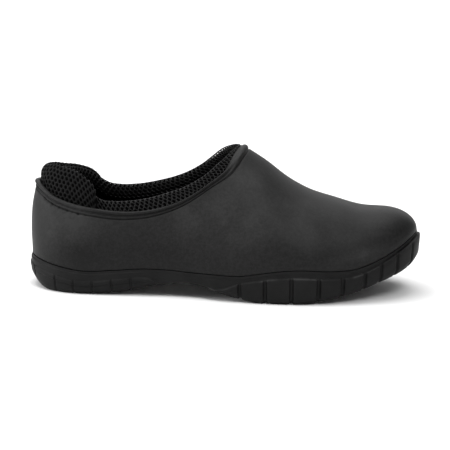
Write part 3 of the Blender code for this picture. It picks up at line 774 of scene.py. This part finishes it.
class Carrier:
    """A grid surface that carries a knitted mesh: u runs along it in cells, v across it in mm."""

    def __init__(self, grid, first, columns, closed, flip=1.0):
        around = np.roll(grid, -1, axis=1) - np.roll(grid, 1, axis=1)
        if not closed:
            around = np.gradient(grid, axis=1)
        normal = np.cross(around, np.gradient(grid, axis=0)) * flip
        self.normal = unit(normal)
        self.grid, self.first = grid, first
        self.columns, self.closed = columns, closed

    def blend(self, values, u, v):
        """Values of the grid's points, taken between them."""
        count = self.grid.shape[1]
        place = u / self.columns * (count if self.closed else count - 1)
        i = np.floor(place).astype(int)
        if not self.closed:
            i = np.clip(i, 0, count - 2)
        a, n = (place - i)[:, None], i + 1
        level = np.clip((v - self.first) / KNIT_SPACING, 0, self.grid.shape[0] - LEVEL_MARGIN)
        j = level.astype(int)
        b = (level - j)[:, None]
        i, n = i % count, n % count
        low = values[j, i] * (1 - a) + values[j, n] * a
        high = values[j + 1, i] * (1 - a) + values[j + 1, n] * a
        return low * (1 - b) + high * b

    def point(self, u, v, height):
        return self.blend(self.grid, u, v) + self.blend(self.normal, u, v) * height[:, None]


def mesh_cell(pitch_v, hole):
    """One cell of the mesh as rows of u, v and height: its outline, its hole's rim and the hole's foot."""
    pitch_u, power = hole["pitch_u"], hole["power"]
    tip = (pitch_u**2 / 4 + pitch_v**2) / (2 * pitch_v)
    shoulder = (pitch_v**2 - pitch_u**2 / 4) / (2 * pitch_v)
    corners = [(0.0, tip), (0.5, shoulder), (0.5, -shoulder)]
    corners = np.array(corners + [(-u, -v) for u, v in corners])
    middles = (corners + np.roll(corners, -1, axis=0)) / 2
    outline = np.stack([corners, middles], axis=1).reshape(-1, 2)
    turn = np.arctan2(outline[:, 1], outline[:, 0] * pitch_u)
    across, along = np.cos(turn), np.sin(turn)
    reach = (np.abs(across) ** power + np.abs(along) ** power) ** (-1 / power)
    rim = np.stack([across * reach * hole["across"] / pitch_u, along * reach * hole["along"]], axis=1)
    count = len(outline)
    crest = np.where(np.arange(count) % 2 == 0, hole["crest"], hole["saddle"])
    loops = ((outline, crest), (rim, hole["rim"]), (rim * HOLE_TAPER, hole["floor"]))
    cell = np.concatenate([np.column_stack([loop, np.broadcast_to(level, count)]) for loop, level in loops])
    return cell, grid_faces(len(loops), count)[:, ::-1]


def knit(carrier, pitch_v, rows, hole, keep):
    """A mesh of staggered holes with crests, rims and walls, and each point's distance across."""
    cell, cell_faces = mesh_cell(pitch_v, hole)
    cells, faces = [], []
    for row in rows:
        for column in range(carrier.columns):
            centre = (column + 0.5 * (row % 2), row * pitch_v + hole["start"], 0.0)
            if keep(*centre[:2]):
                faces.append(cell_faces + len(cells) * len(cell))
                cells.append(cell + centre)
    u, v, height = np.concatenate(cells).T
    points, faces, first = weld(carrier.point(u, v, height), np.concatenate(faces))
    return points, faces, v[first]


def weld(points, faces):
    """Joins points that lie in the same place; also gives the first of each."""
    cells = np.round(points * WELD_CELLS).astype(np.int64)
    _, first, place = np.unique(cells, axis=0, return_index=True, return_inverse=True)
    return points[first], place.ravel()[faces], first


def closed_grid(loops):
    """Points and faces of closed rows whose end columns fall together, without collapsed faces."""
    faces = grid_faces(*loops.shape[:2], close_rows=True, close_loop=False)
    points, faces, _ = weld(loops.reshape(-1, 3), faces)
    faces = [list(dict.fromkeys(face)) for face in faces]
    return points, [face for face in faces if len(face) > 2]


def edge_cord(middle):
    """A thin tube along a closed loop."""
    along = np.roll(middle, -1, axis=0) - np.roll(middle, 1, axis=0)
    side = unit(np.cross(along, (0.0, 0.0, 1.0)))
    up = unit(np.cross(side, along))
    turns = np.linspace(0.0, 2 * math.pi, EDGE_CORD_SIDES, endpoint=False)
    inner = smoothstep(middle[:, 1], -CORD_BLEND, CORD_BLEND)
    radius = (EDGE_CORD_OUTER + (EDGE_CORD - EDGE_CORD_OUTER) * inner)[:, None]
    return tube(np.array([middle + radius * (side * math.cos(t) + up * math.sin(t)) for t in turns]))


def collar_net(path, zero_row):
    """The knitted mesh on both sides of the lining's edge, and each point's distance from the edge."""
    first, last = -KNIT_OUTSIDE, KNIT_INSIDE
    grid, ends = even_rows(path, zero_row, first, last)
    carrier = Carrier(grid, first, COLLAR_COLUMNS, closed=True)
    places = np.arange(COLLAR_COLUMNS + 1) / COLLAR_COLUMNS * len(ends)
    lengths = np.interp(places, np.arange(len(ends)), ends)

    def keep(u, v):
        return v < lengths[int(u) % COLLAR_COLUMNS] - COLLAR_ROW

    rows = range(math.ceil(first / COLLAR_ROW) + 1, math.floor(last / COLLAR_ROW) - 1)
    return knit(carrier, COLLAR_ROW, rows, COLLAR_HOLE, keep)


def make_lining(body_material, knit_material):
    """The padded lining, which ends below its open edge, with its knitted face on both sides of that edge."""
    outside, inside = lining_path()
    points, faces = tube(over_edge(lowered_top(outside), lowered_top(inside)))
    body = make_piece("collar_padding", points, faces, body_material, "spacer_mesh", "collar_lining")
    path = over_edge(outside, inside)
    zero_row = len(outside) + EDGE_ROWS // 2
    points, faces, across = collar_net(path, zero_row)
    cord_points, cord_faces = edge_cord(path[zero_row])
    faces = np.concatenate([faces, cord_faces + len(points)])
    points = np.concatenate([points, cord_points])
    net = make_piece("collar_knit", points, faces, knit_material, "spacer_mesh")
    # Painted shade: the yarn darkens down the inside of the collar, by distance from its edge.
    keep_value(net, "fade", np.concatenate([smoothstep(across, *YARN_PAINTED_SHADE), np.zeros(len(cord_points))]))


def pad_sides(share, row):
    """Outside and inside of the heel pad at shares of the way round and up."""
    forward = (1 - np.cos(math.pi * share)) / 2
    inner_top, outer_top = (curve(forward * PAD_FRONT, rows) for rows in (HEEL_PAD_TOP, HEEL_PAD_TOP_OUTER))
    z = PAD_FOOT + (np.where(share < 0, outer_top, inner_top) - PAD_FOOT) * row
    back = curve(z, HEEL_BACK)
    x = back + forward * (PAD_FRONT - back)
    grid = last_point(x, z, np.sign(share))
    normal = unit(np.cross(np.gradient(grid, axis=0), np.gradient(grid, axis=1)))
    outset = WALL + SOFT_GAP - PAD_OVERHANG * smoothstep(z - curve(x, COLLAR), *PAD_OVERHANG_RISE)
    thickness = pad_thickness(x)
    end = np.clip((1 - np.abs(share)) / PAD_END_ROUND, 0.0, 1.0)
    crown = np.clip((1 - row) / PAD_CROWN_ROUND, 0.0, 1.0)
    full = np.sqrt(1 - (1 - end) ** 2) * np.sqrt(1 - (1 - crown) ** 2)
    full = np.maximum(full, PAD_THINNEST)
    outside = grid - normal * (outset + thickness * (1 - full) / 2)[:, :, None]
    inside = grid - normal * (outset + thickness * (1 + full) / 2)[:, :, None]
    return outside, inside


def heel_net(path, rows_up):
    """The knitted mesh on the heel pad's outside and over its crown."""
    count = path.shape[1]
    length = lengths_along(path[rows_up // 2])
    even = np.interp(np.linspace(0, length[-1], PAD_FINE_COLUMNS), length, np.arange(count))
    low = np.floor(even).astype(int).clip(0, count - 2)
    part = (even - low)[None, :, None]
    path = path[:, low] * (1 - part) + path[:, low + 1] * part
    first, last = -PAD_KNIT_DOWN, PAD_KNIT_IN
    grid, _ = even_rows(path, rows_up - 1, first, last)
    columns = round(length[-1] / PAD_HOLE["pitch_u"])
    carrier = Carrier(grid, first, columns, closed=False, flip=-1.0)

    def keep(u, v):
        return PAD_KNIT_EDGE < u < columns - PAD_KNIT_EDGE

    rows = range(math.ceil(first / PAD_ROW) + 1, math.floor(last / PAD_ROW))
    points, faces, _ = knit(carrier, PAD_ROW, rows, PAD_HOLE, keep)
    return points, faces


def make_heel_pad(body_material, knit_material):
    """The padded heel tab with its knitted face."""
    along = np.linspace(-1.0, 1.0, 2 * PAD_COLUMNS + 1)
    up = 1 - (1 - np.linspace(0.0, 1.0, PAD_ROWS + 1)) ** PAD_ROW_POWER
    outside, inside = pad_sides(*np.meshgrid(along, up))
    path = np.concatenate([outside, inside[::-1]])
    rows, count = path.shape[:2]
    faces = [tuple(face) for face in grid_faces(rows, count, close_rows=True, close_loop=False)]
    for column in (0, count - 1):
        for j in range(rows // 2 - 1):
            faces.append(tuple(row * count + column for row in (j, j + 1, rows - 2 - j, rows - 1 - j)))
    body = make_piece("heel_padding", path.reshape(-1, 3), faces, body_material, "padded_mesh", "heel_pad")
    fix_outward(body)
    make_piece("heel_knit", *heel_net(path, len(outside)), knit_material, "padded_mesh")


def fix_outward(obj):
    """Turns a closed piece's faces outwards."""
    bm = bmesh.new()
    bm.from_mesh(obj.data)
    bmesh.ops.recalc_face_normals(bm, faces=bm.faces)
    bm.to_mesh(obj.data)
    bm.free()


def sole_half_width(x):
    return section(x, "half_width") * heel_round(x, 0.0) * toe_round(x, LENGTH)


def sole_edge(side):
    """The sole's outline on one side from heel tip to toe tip: points, inward normals, lengths."""
    turn = np.linspace(0.0, math.pi, EDGE_POINTS)
    x = LENGTH * (1 - np.cos(turn)) / 2
    y = centre_line(x) + side * sole_half_width(x)
    points = np.stack([x, y], axis=1)
    tangent = np.gradient(points, axis=0)
    tangent[0] = tangent[-1] = (0.0, side)
    tangent[-1] *= -1
    tangent = unit(tangent)
    inward = side * np.stack([tangent[:, 1], -tangent[:, 0]], axis=1)
    return points, inward, lengths_along(points)


def edge_stations(side, points, lengths):
    """Places along one edge, with the groove weight of each."""

    def length_at(x):
        return float(np.interp(x, points[:, 0], lengths))

    heel = [*HEEL_TIP_GROOVES[side], *map(length_at, HEEL_GROOVES[side])]
    fore = [*map(length_at, FORE_GROOVES[side]), lengths[-1] - TOE_TIP_GROOVE]
    grooves = [(place, HEEL_GROOVE_WIDTH, HEEL_GROOVE_SHARE) for place in heel]
    grooves += [(place, 1.0, 1.0) for place in fore]
    marks = [(0.0, 0.0, 0.0)] + grooves + [(lengths[-1], 0.0, 0.0)]
    reach = GROOVE_STATIONS[-1]
    stations = [0.0]
    for k, (place, width, _) in enumerate(marks[:-1]):
        after, after_width, _ = marks[k + 1]
        fills = ARCH_FILLS if k == len(heel) else BLOCK_FILLS
        stations += list(np.linspace(place + reach * width, after - reach * after_width, fills + 2)[1:-1])
        stations += [after + d * after_width for d in GROOVE_STATIONS] if after_width else [after]
    stations = np.array(stations)
    weight = np.zeros(len(stations))
    for place, width, share in grooves:
        near = np.abs(stations - place) / width
        weight = np.maximum(weight, share * (1 - smoothstep(near, GROOVE_FLOOR, GROOVE_EDGE)))
    return stations, weight


def arch(x):
    """1 in the smooth arch and 0 in the lugged heel and forefoot."""
    return smoothstep(x, ARCH_START - ARCH_EDGE, ARCH_START + ARCH_EDGE) * (
        1 - smoothstep(x, ARCH_END - ARCH_EDGE, ARCH_END + ARCH_EDGE)
    )


def shelf(x):
    """Height of the ledge that carries the upper."""
    return feather(x) - CLEARANCE


def lug_top(x):
    return feather(x) - curve(x, LUG_TOP_DROP)


def side_foot(x):
    """Height on the side where the lugs turn under."""
    return tread(x) + np.minimum(LUG_FOOT, 0.5 * (lug_top(x) - tread(x)))


def under_lug_top(drop):
    """The lugs' top edge moved down, less where the lugs are low."""

    def height(x):
        room = HEEL_LINE_ROOM * (lug_top(x) - side_foot(x)) / HEEL_LINE[-1][0]
        return lug_top(x) - drop * np.minimum(room, 1.0)

    return height


def field(x):
    """Height of the recessed floor between the hexagon pads."""
    return tread(x) + FIELD_DEPTH * (1 - arch(x))


def sole_profile(points, inward, groove):
    """The sole's loops at one edge's stations, from the footbed over the lip and lugs to the tread field."""

    def place(inset, height):
        spot = points + inward * np.broadcast_to(inset, groove.shape)[:, None]
        return np.column_stack([spot, height(spot[:, 0])])

    x = points[:, 0]
    wall = upper_inset(x)
    band = wall + BAND_STEP - HEEL_BAND_FILL * (1 - smoothstep(x, *HEEL_BAND_END))
    lug = band * arch(x) + GROOVE_DEPTH * groove
    heel = 1 - smoothstep(x, *HEEL_LINE_END)
    lug_foot = (band + LUG_FOOT_INSET) * arch(x) + LUG_FOOT_INSET * (1 - arch(x)) + GROOVE_DEPTH * groove
    return [
        place(BED_INSET, through(FOOTBED)),
        place(SHELF_INNER, shelf),
        place(wall - LIP_EDGE, shelf),
        place(wall - LIP_EDGE, lambda s: shelf(s) - LIP_HEIGHT),
        place(band, lambda s: feather(s) - BAND_TOP_DROP),
        place(band, lambda s: lug_top(s) + BAND_FOOT_RISE),
        place(lug, lug_top),
        *[place(lug + step * heel, under_lug_top(drop)) for drop, step in HEEL_LINE],
        place(lug_foot, side_foot),
        place(TREAD_EDGE_INSET, lambda s: tread(s) + FIELD_DEPTH * GROOVE_FOOT_SHARE * groove),
        place(LUG_INSIDE, lambda s: tread(s) + FIELD_DEPTH * groove),
        place(FIELD_INSIDE, field),
    ]


def corner_ends(corner, before, after, radius):
    """Where the rounding of a corner starts and ends, on the way to its neighbours."""
    ends = []
    for other in (before, after):
        reach = np.maximum(np.linalg.norm(other - corner, axis=-1, keepdims=True), TINY)
        ends.append(corner + (other - corner) * np.minimum(radius / reach, CORNER_LIMIT))
    return ends


def rounded_rows(loops):
    """The profile's loops with each corner turned into a short arc."""
    rows = [loops[0]]
    for k in range(1, len(loops) - 1):
        corner = loops[k]
        start, end = corner_ends(corner, loops[k - 1], loops[k + 1], PROFILE_ROUND[k])
        for t in np.linspace(0.0, 1.0, ROUND_STEPS):
            rows.append(start * (1 - t) ** 2 + corner * 2 * t * (1 - t) + end * t * t)
    rows.append(loops[-1])
    return np.array(rows)


def along_edge(at, lengths, values):
    """Values given along an edge, taken at the stated lengths."""
    return np.stack([np.interp(at, lengths, values[:, j]) for j in (0, 1)], axis=1)


def sole_sides():
    """The rounded loops of the outer and the inner side, heel to toe."""
    sides = []
    for side in (-1, 1):
        points, inward, lengths = sole_edge(side)
        at, groove = edge_stations(side, points, lengths)
        spot = along_edge(at, lengths, points)
        sides.append(rounded_rows(sole_profile(spot, along_edge(at, lengths, inward), groove)))
    return sides


def cap_rows(outer, inner, height):
    """Rows of points across the shoe between the two sides' end loops, at heights of their own."""
    rows = []
    for share in np.linspace(0.0, 1.0, CAP_COLUMNS + 1)[1:-1]:
        row = outer * (1 - share) + inner * share
        row[:, 2] = height(row[:, 0])
        rows.append(row)
    return rows


def field_room(x, y, edges):
    """How far a place lies inside the tread field that holds it; less than 0 is outside."""
    across = np.min(np.hypot(edges[:, 0] - x, edges[:, 1] - y)) - FIELD_INSIDE
    if abs(y - float(section(x, "centre"))) > float(sole_half_width(x)):
        across = -1.0
    along = max(ARCH_START - ARCH_EDGE - x, x - ARCH_END - ARCH_EDGE)
    return min(across, along) - HEX_MARGIN


def pad_corner(centre, corner, edges):
    """A hexagon corner, pulled in towards the pad's centre where it would leave the field."""

    def inside(share):
        return field_room(*(centre + (corner - centre) * share), edges) >= 0

    share = 1.0 if inside(1.0) else halve(inside, 0.0, 1.0, PULL_STEPS)
    return centre + (corner - centre) * share


def round_corners(corners):
    """A polygon with each corner cut into three points."""
    points = []
    for k, corner in enumerate(corners):
        start, end = corner_ends(corner, corners[k - 1], corners[(k + 1) % len(corners)], HEX_CORNER)
        points += [start, (start + 2 * corner + end) / 4, end]
    return np.array(points)


def hexagon_pads():
    """Bevelled six-sided pads on a staggered lattice, set into the tread field."""
    edges = np.concatenate([sole_edge(side)[0][::EDGE_SKIP] for side in (-1, 1)])
    column_pitch = HEX_PITCH * math.sqrt(3) / 2
    reach = HEX_FLATS / math.sqrt(3)
    spokes = [reach * np.array([math.sin(t), math.cos(t)]) for t in np.radians(np.arange(0, 360, 60))]
    points, faces = [], []
    for column in range(-HEX_COLUMNS, HEX_COLUMNS + 1):
        for row in range(int(LENGTH / HEX_PITCH) + 1):
            centre = np.array([(row + 0.5 * (column % 2)) * HEX_PITCH, column * column_pitch])
            if field_room(*centre, edges) < HEX_SMALLEST:
                continue
            corners = round_corners([pad_corner(centre, centre + spoke, edges) for spoke in spokes])
            add_pad(points, faces, centre, corners, reach)
    return points, faces


def add_pad(points, faces, centre, corners, reach):
    """One pad: a flat top, a bevelled edge and walls that go down into the sole."""
    count = len(corners)
    first = len(points)
    points.append((*centre, float(tread(centre[0]))))
    for lift, growth in HEX_PROFILE:
        spread = corners + (corners - centre) * growth / reach
        points += [(*spot, float(tread(spot[0])) + lift) for spot in spread]
    points.append((*centre, float(tread(centre[0])) + HEX_PROFILE[-1][0]))
    for k in range(count):
        n = (k + 1) % count
        faces.append((first, first + 1 + n, first + 1 + k))
        for j in range(len(HEX_PROFILE) - 1):
            a = first + 1 + j * count
            faces.append((a + k, a + n, a + count + n, a + count + k))
        a = first + 1 + (len(HEX_PROFILE) - 1) * count
        faces.append((a + k, a + n, len(points) - 1))


def lug_edge_highlight(points):
    """How strongly a painted highlight lights the lugs' top edges at points of the sole."""
    x, z = points[:, 0], points[:, 2]
    fore = HIGHLIGHT_AT_HEEL + (1 - HIGHLIGHT_AT_HEEL) * smoothstep(x, ARCH_START, ARCH_END)
    return fore * bell(z - lug_top(x), HIGHLIGHT_REACH) * (1 - arch(x))


def make_sole(material):
    """The sole with rounded steps and lugs, its tread pads and two plain mould rings."""
    outer, inner = sole_sides()
    top = cap_rows(outer[0], inner[0], through(FOOTBED))
    low = cap_rows(outer[-1], inner[-1], field)
    points, faces = closed_grid(np.concatenate([top[::-1], outer, low, inner[::-1]]))
    points = [tuple(p) for p in points]
    for more_points, more_faces in (hexagon_pads(), mould_ring(*ARCH_RING), mould_ring(*TOE_MARK)):
        start = len(points)
        points += [tuple(p) for p in more_points]
        faces += [[start + n for n in face] for face in more_faces]
    sole = make_piece("sole_unit", points, faces, material, "moulded_sole", "outsole")
    fix_outward(sole)
    # The painted highlight along the lugs' top edges, kept for the material.
    keep_value(sole, "lug_edge_highlight", lug_edge_highlight(np.array(points)))


def mould_ring(x, y, radius, width, lift):
    """A low plain ring that a mould leaves on the underside."""
    turns, bends = (np.linspace(0.0, 2 * math.pi, n, endpoint=False) for n in (RING_POINTS, RING_SIDES))
    points = []
    for bend in bends:
        r = radius + width * math.cos(bend)
        spot = np.stack([x + r * np.cos(turns), y + r * np.sin(turns)], axis=1)
        z = tread(spot[:, 0]) - lift * math.sin(bend)
        points += [tuple(p) for p in np.column_stack([spot, z])]
    return points, grid_faces(RING_SIDES, RING_POINTS, close_rows=True)


def insole_height(lift):
    """A height above the insole's underside."""
    return lambda x: curve(x, FOOTBED) + CLEARANCE + lift


def make_insole(material):
    """A soft liner on the footbed, slightly raised at its edge."""
    sides = []
    for side in (-1, 1):
        points, inward, lengths = sole_edge(side)
        at = np.linspace(0.0, lengths[-1], INSOLE_STEPS + 1)
        rows = []
        for inset, lift in INSOLE_PROFILE:
            spot = along_edge(at, lengths, points + inward * (INSOLE_INSET + inset))
            rows.append(np.column_stack([spot, insole_height(lift)(spot[:, 0])]))
        sides.append(np.array(rows))
    outer, inner = sides
    top = cap_rows(outer[-1], inner[-1], insole_height(INSOLE_THICKNESS))
    low = cap_rows(outer[0], inner[0], insole_height(0.0))
    points, faces = closed_grid(np.concatenate([low[::-1], outer, top, inner[::-1]]))
    insole = make_piece("insole_liner", points, faces, material, "insole_foam", "insole")
    fix_outward(insole)


class Skin:
    """A node material with its Principled shader; sizes and depths are in metres."""

    def __init__(self, name, roughness, specular):
        self.material = bpy.data.materials.new(name)
        self.material.use_nodes = True
        self.tree = self.material.node_tree
        self.inputs = self.tree.nodes["Principled BSDF"].inputs
        self.inputs["Roughness"].default_value = roughness
        self.inputs["Specular IOR Level"].default_value = specular
        self.place = self.node("TexCoord").outputs["Object"]

    def node(self, kind, numbers=(), links=()):
        """A new node, from rows of socket and number and rows of socket and link."""
        node = self.tree.nodes.new("ShaderNode" + kind)
        for socket, number in numbers:
            node.inputs[socket].default_value = number
        for socket, value in links:
            self.tree.links.new(value, node.inputs[socket])
        return node

    def link(self, value, socket):
        self.tree.links.new(value, self.inputs[socket])

    def noise(self, size, detail=2.0, rough=0.5):
        """Noise whose features have about the given size."""
        numbers = (("Scale", 1.0 / size), ("Detail", detail), ("Roughness", rough))
        return self.node("TexNoise", numbers, [("Vector", self.place)]).outputs["Fac"]

    def remap(self, value, low, high, to_low, to_high):
        numbers = zip(("From Min", "From Max", "To Min", "To Max"), (low, high, to_low, to_high))
        node = self.node("MapRange", numbers, [("Value", value)])
        node.interpolation_type = "SMOOTHSTEP"
        return node.outputs["Result"]

    def combine(self, a, b, operation="ADD"):
        node = self.node("Math", links=((0, a), (1, b)))
        node.operation = operation
        return node.outputs[0]

    def kept_value(self, name):
        node = self.node("Attribute")
        node.attribute_name = name
        return node.outputs["Fac"]

    def colour(self, value, stops):
        """Colours the skin in greys along a value, as rows of position and grey."""
        node = self.node("ValToRGB", links=[("Fac", value)])
        elements = node.color_ramp.elements
        while len(elements) < len(stops):
            elements.new(0.5)
        for element, (position, grey) in zip(elements, stops):
            element.position = position
            element.color = (grey, grey, grey, 1.0)
        self.link(node.outputs["Color"], "Base Color")

    def relief(self, height, depth, strength):
        """Lays a bump over the skin, on top of any before it."""
        links = [("Height", height)]
        links += [("Normal", link.from_socket) for link in self.inputs["Normal"].links]
        node = self.node("Bump", (("Distance", depth), ("Strength", strength)), links)
        self.link(node.outputs["Normal"], "Normal")


def upper_material():
    """Satin moulded foam: soft clouds of bloom mixed with painted light and painted shade, a fine grain and a
    faint orange peel.
    """
    skin = Skin("moulded_upper_skin", UPPER_ROUGH, UPPER_SPECULAR)
    clouds = skin.noise(UPPER_CLOUD, detail=4.0, rough=0.55)
    # The kept value mixes bloom with painted light and painted shade.
    marks = skin.combine(skin.kept_value("bloom_and_painted_light"), skin.remap(clouds, 0.4, 0.66, 0.5, 1.0), "MULTIPLY")
    mottle = skin.combine(skin.remap(clouds, *CLOUD_RANGE, 0.24, 0.36), marks)
    speckle = skin.combine(*[skin.noise(size, detail=1.0) for size in SPECKLES])
    mottle = skin.combine(mottle, skin.remap(speckle, 0.6, 1.4, -0.16, 0.16))
    skin.colour(mottle, ((0.0, UPPER_DARK), (0.35, UPPER_MIDDLE), (1.0, UPPER_PALE)))
    skin.link(skin.remap(mottle, 0.0, 1.0, 0.5, 0.6), "Roughness")
    skin.relief(skin.noise(UPPER_PEEL), DEEP_RELIEF, 0.25)
    skin.relief(skin.noise(UPPER_GRAIN, detail=3.0, rough=0.6), FINE_RELIEF, 0.5)
    return skin.material


def sole_material():
    """Matte moulded sole, a little rougher and darker than the upper, with a painted highlight along its
    lugs' top edges.
    """
    skin = Skin("moulded_sole_skin", SOLE_ROUGH, SOLE_SPECULAR)
    clouds = skin.noise(SOLE_CLOUD, detail=4.0, rough=0.6)
    # Painted highlight along the lugs' top edges, broken up by clouds.
    highlighted = skin.combine(skin.kept_value("lug_edge_highlight"), skin.remap(clouds, 0.4, 0.6, 0.3, 0.6), "MULTIPLY")
    tone = skin.combine(skin.remap(clouds, *CLOUD_RANGE, 0.0, 0.5), highlighted)
    skin.colour(tone, ((0.0, SOLE_DARK), (0.5, SOLE_PALE), (1.0, SOLE_HIGHLIGHT)))
    skin.link(skin.remap(clouds, *CLOUD_RANGE, 0.52, 0.66), "Roughness")
    skin.relief(skin.noise(SOLE_GRAIN, detail=3.0, rough=0.6), FINE_RELIEF, 0.6)
    return skin.material


def knit_material(name, yarn):
    """Twisted yarn: fibres along the strands, a faint sheen, and painted shade down the inside of the collar.
    """
    skin = Skin(name, yarn["roughness"], yarn["specular"])
    # Painted shade darkens the yarn down the inside of the collar.
    unshaded = skin.remap(skin.kept_value("fade"), 0.0, 1.0, 1.0, 0.0)
    tone = skin.combine(skin.noise(YARN_CLOUD, detail=3.0), unshaded, "MULTIPLY")
    skin.colour(tone, ((0.0, yarn["shade"]), (0.3, yarn["dark"]), (0.7, yarn["pale"])))
    skin.relief(skin.noise(YARN_FIBRE), FINE_RELIEF, 0.7)
    skin.inputs["Sheen Weight"].default_value = YARN_SHEEN
    skin.inputs["Sheen Roughness"].default_value = YARN_SHEEN_ROUGH
    return skin.material


def padding_material(name):
    """The dark foam behind the knitted holes, near black so that it also paints the shade inside them."""
    skin = Skin(name, FOAM_ROUGH, FOAM_SPECULAR)
    skin.colour(skin.noise(FOAM_CLOUD), tuple(zip((0.3, 0.7), FOAM_GREYS)))
    return skin.material


def insole_material():
    """A brushed cloth face over foam."""
    skin = Skin("insole_cloth", MATTE_ROUGH, MATTE_SPECULAR)
    skin.colour(skin.noise(CLOTH_CLOUD, detail=4.0, rough=0.6), tuple(zip((0.3, 0.7), CLOTH_GREYS)))
    skin.relief(skin.noise(CLOTH_WEAVE), DEEP_RELIEF, 0.8)
    return skin.material


def floor_material():
    skin = Skin("floor_paper", MATTE_ROUGH, MATTE_SPECULAR)
    skin.colour(skin.noise(FLOOR_CLOUD), tuple(zip((0.0, 1.0), FLOOR_GREYS)))
    return skin.material


def add_camera():
    """The photograph's angle to the shoe, framing the one shoe."""
    elevation, yaw, roll = (math.radians(turn) for turn in CAMERA_TURNS)
    right = Vector((math.cos(yaw), math.sin(yaw), 0))
    ahead = Vector((-math.sin(yaw), math.cos(yaw), 0))
    up = Vector((0, 0, 1)) * math.cos(elevation) + ahead * math.sin(elevation)
    image_right = right * math.cos(roll) - up * math.sin(roll)
    image_up = right * math.sin(roll) + up * math.cos(roll)
    back = image_right.cross(image_up)
    data = bpy.data.cameras.new("camera")
    data.sensor_width = SENSOR_WIDTH
    data.lens = data.sensor_width * CAMERA_DISTANCE / FRAME_WIDTH
    camera = bpy.data.objects.new("camera", data)
    turn = Matrix((image_right, image_up, back)).transposed().to_4x4()
    camera.matrix_world = Matrix.Translation(Vector(CAMERA_TARGET) + back * CAMERA_DISTANCE) @ turn
    bpy.context.scene.collection.objects.link(camera)
    bpy.context.scene.camera = camera


def add_area(name, place, target, size, power):
    """A soft rectangular light that faces a target."""
    data = bpy.data.lights.new(name, "AREA")
    data.shape = "RECTANGLE"
    data.size, data.size_y = size
    data.energy = power
    light = bpy.data.objects.new(name, data)
    light.location = place
    direction = Vector(target) - Vector(place)
    light.rotation_euler = direction.to_track_quat("-Z", "Y").to_euler()
    bpy.context.scene.collection.objects.link(light)


def add_floor():
    """A pale floor that curves up into a backdrop."""
    profile = [(FLOOR_FRONT, 0.0), (FLOOR_BACK, 0.0)]
    for turn in np.linspace(0, math.pi / 2, BEND_STEPS)[1:]:
        profile.append((FLOOR_BACK + FLOOR_BEND * math.sin(turn), FLOOR_BEND * (1 - math.cos(turn))))
    profile.append((FLOOR_BACK + FLOOR_BEND, BACKDROP_TOP))
    points = [(x, y, z) for x in (-FLOOR_HALF_WIDTH, FLOOR_HALF_WIDTH) for y, z in profile]
    count = len(profile)
    faces = [(i, count + i, count + i + 1, i + 1) for i in range(count - 1)]
    mesh = bpy.data.meshes.new("floor")
    mesh.from_pydata(points, [], faces)
    mesh.shade_smooth()
    floor = bpy.data.objects.new("floor", mesh)
    mesh.materials.append(floor_material())
    bpy.context.scene.collection.objects.link(floor)
    floor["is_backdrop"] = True


def add_stage():
    """The floor, soft lights and a dim even surrounding."""
    add_floor()
    world = bpy.data.worlds.new("surroundings")
    world.use_nodes = True
    background = world.node_tree.nodes["Background"].inputs
    background["Color"].default_value = (1, 1, 1, 1)
    background["Strength"].default_value = WORLD_STRENGTH
    bpy.context.scene.world = world
    bpy.context.scene.view_settings.view_transform = "Standard"
    for light in LIGHTS:
        add_area(*light)


def write_sizes():
    boxes = {"cad": cad_box, "visual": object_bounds()}
    {name: [list(corner) for corner in box] for name, box in boxes.items()}


make_upper(upper_material())
make_sole(sole_material())
make_lining(padding_material("collar_foam"), knit_material("collar_yarn", COLLAR_YARN))
make_heel_pad(padding_material("heel_foam"), knit_material("heel_yarn", HEEL_YARN))
make_insole(insole_material())
add_camera()
add_stage()
write_sizes()
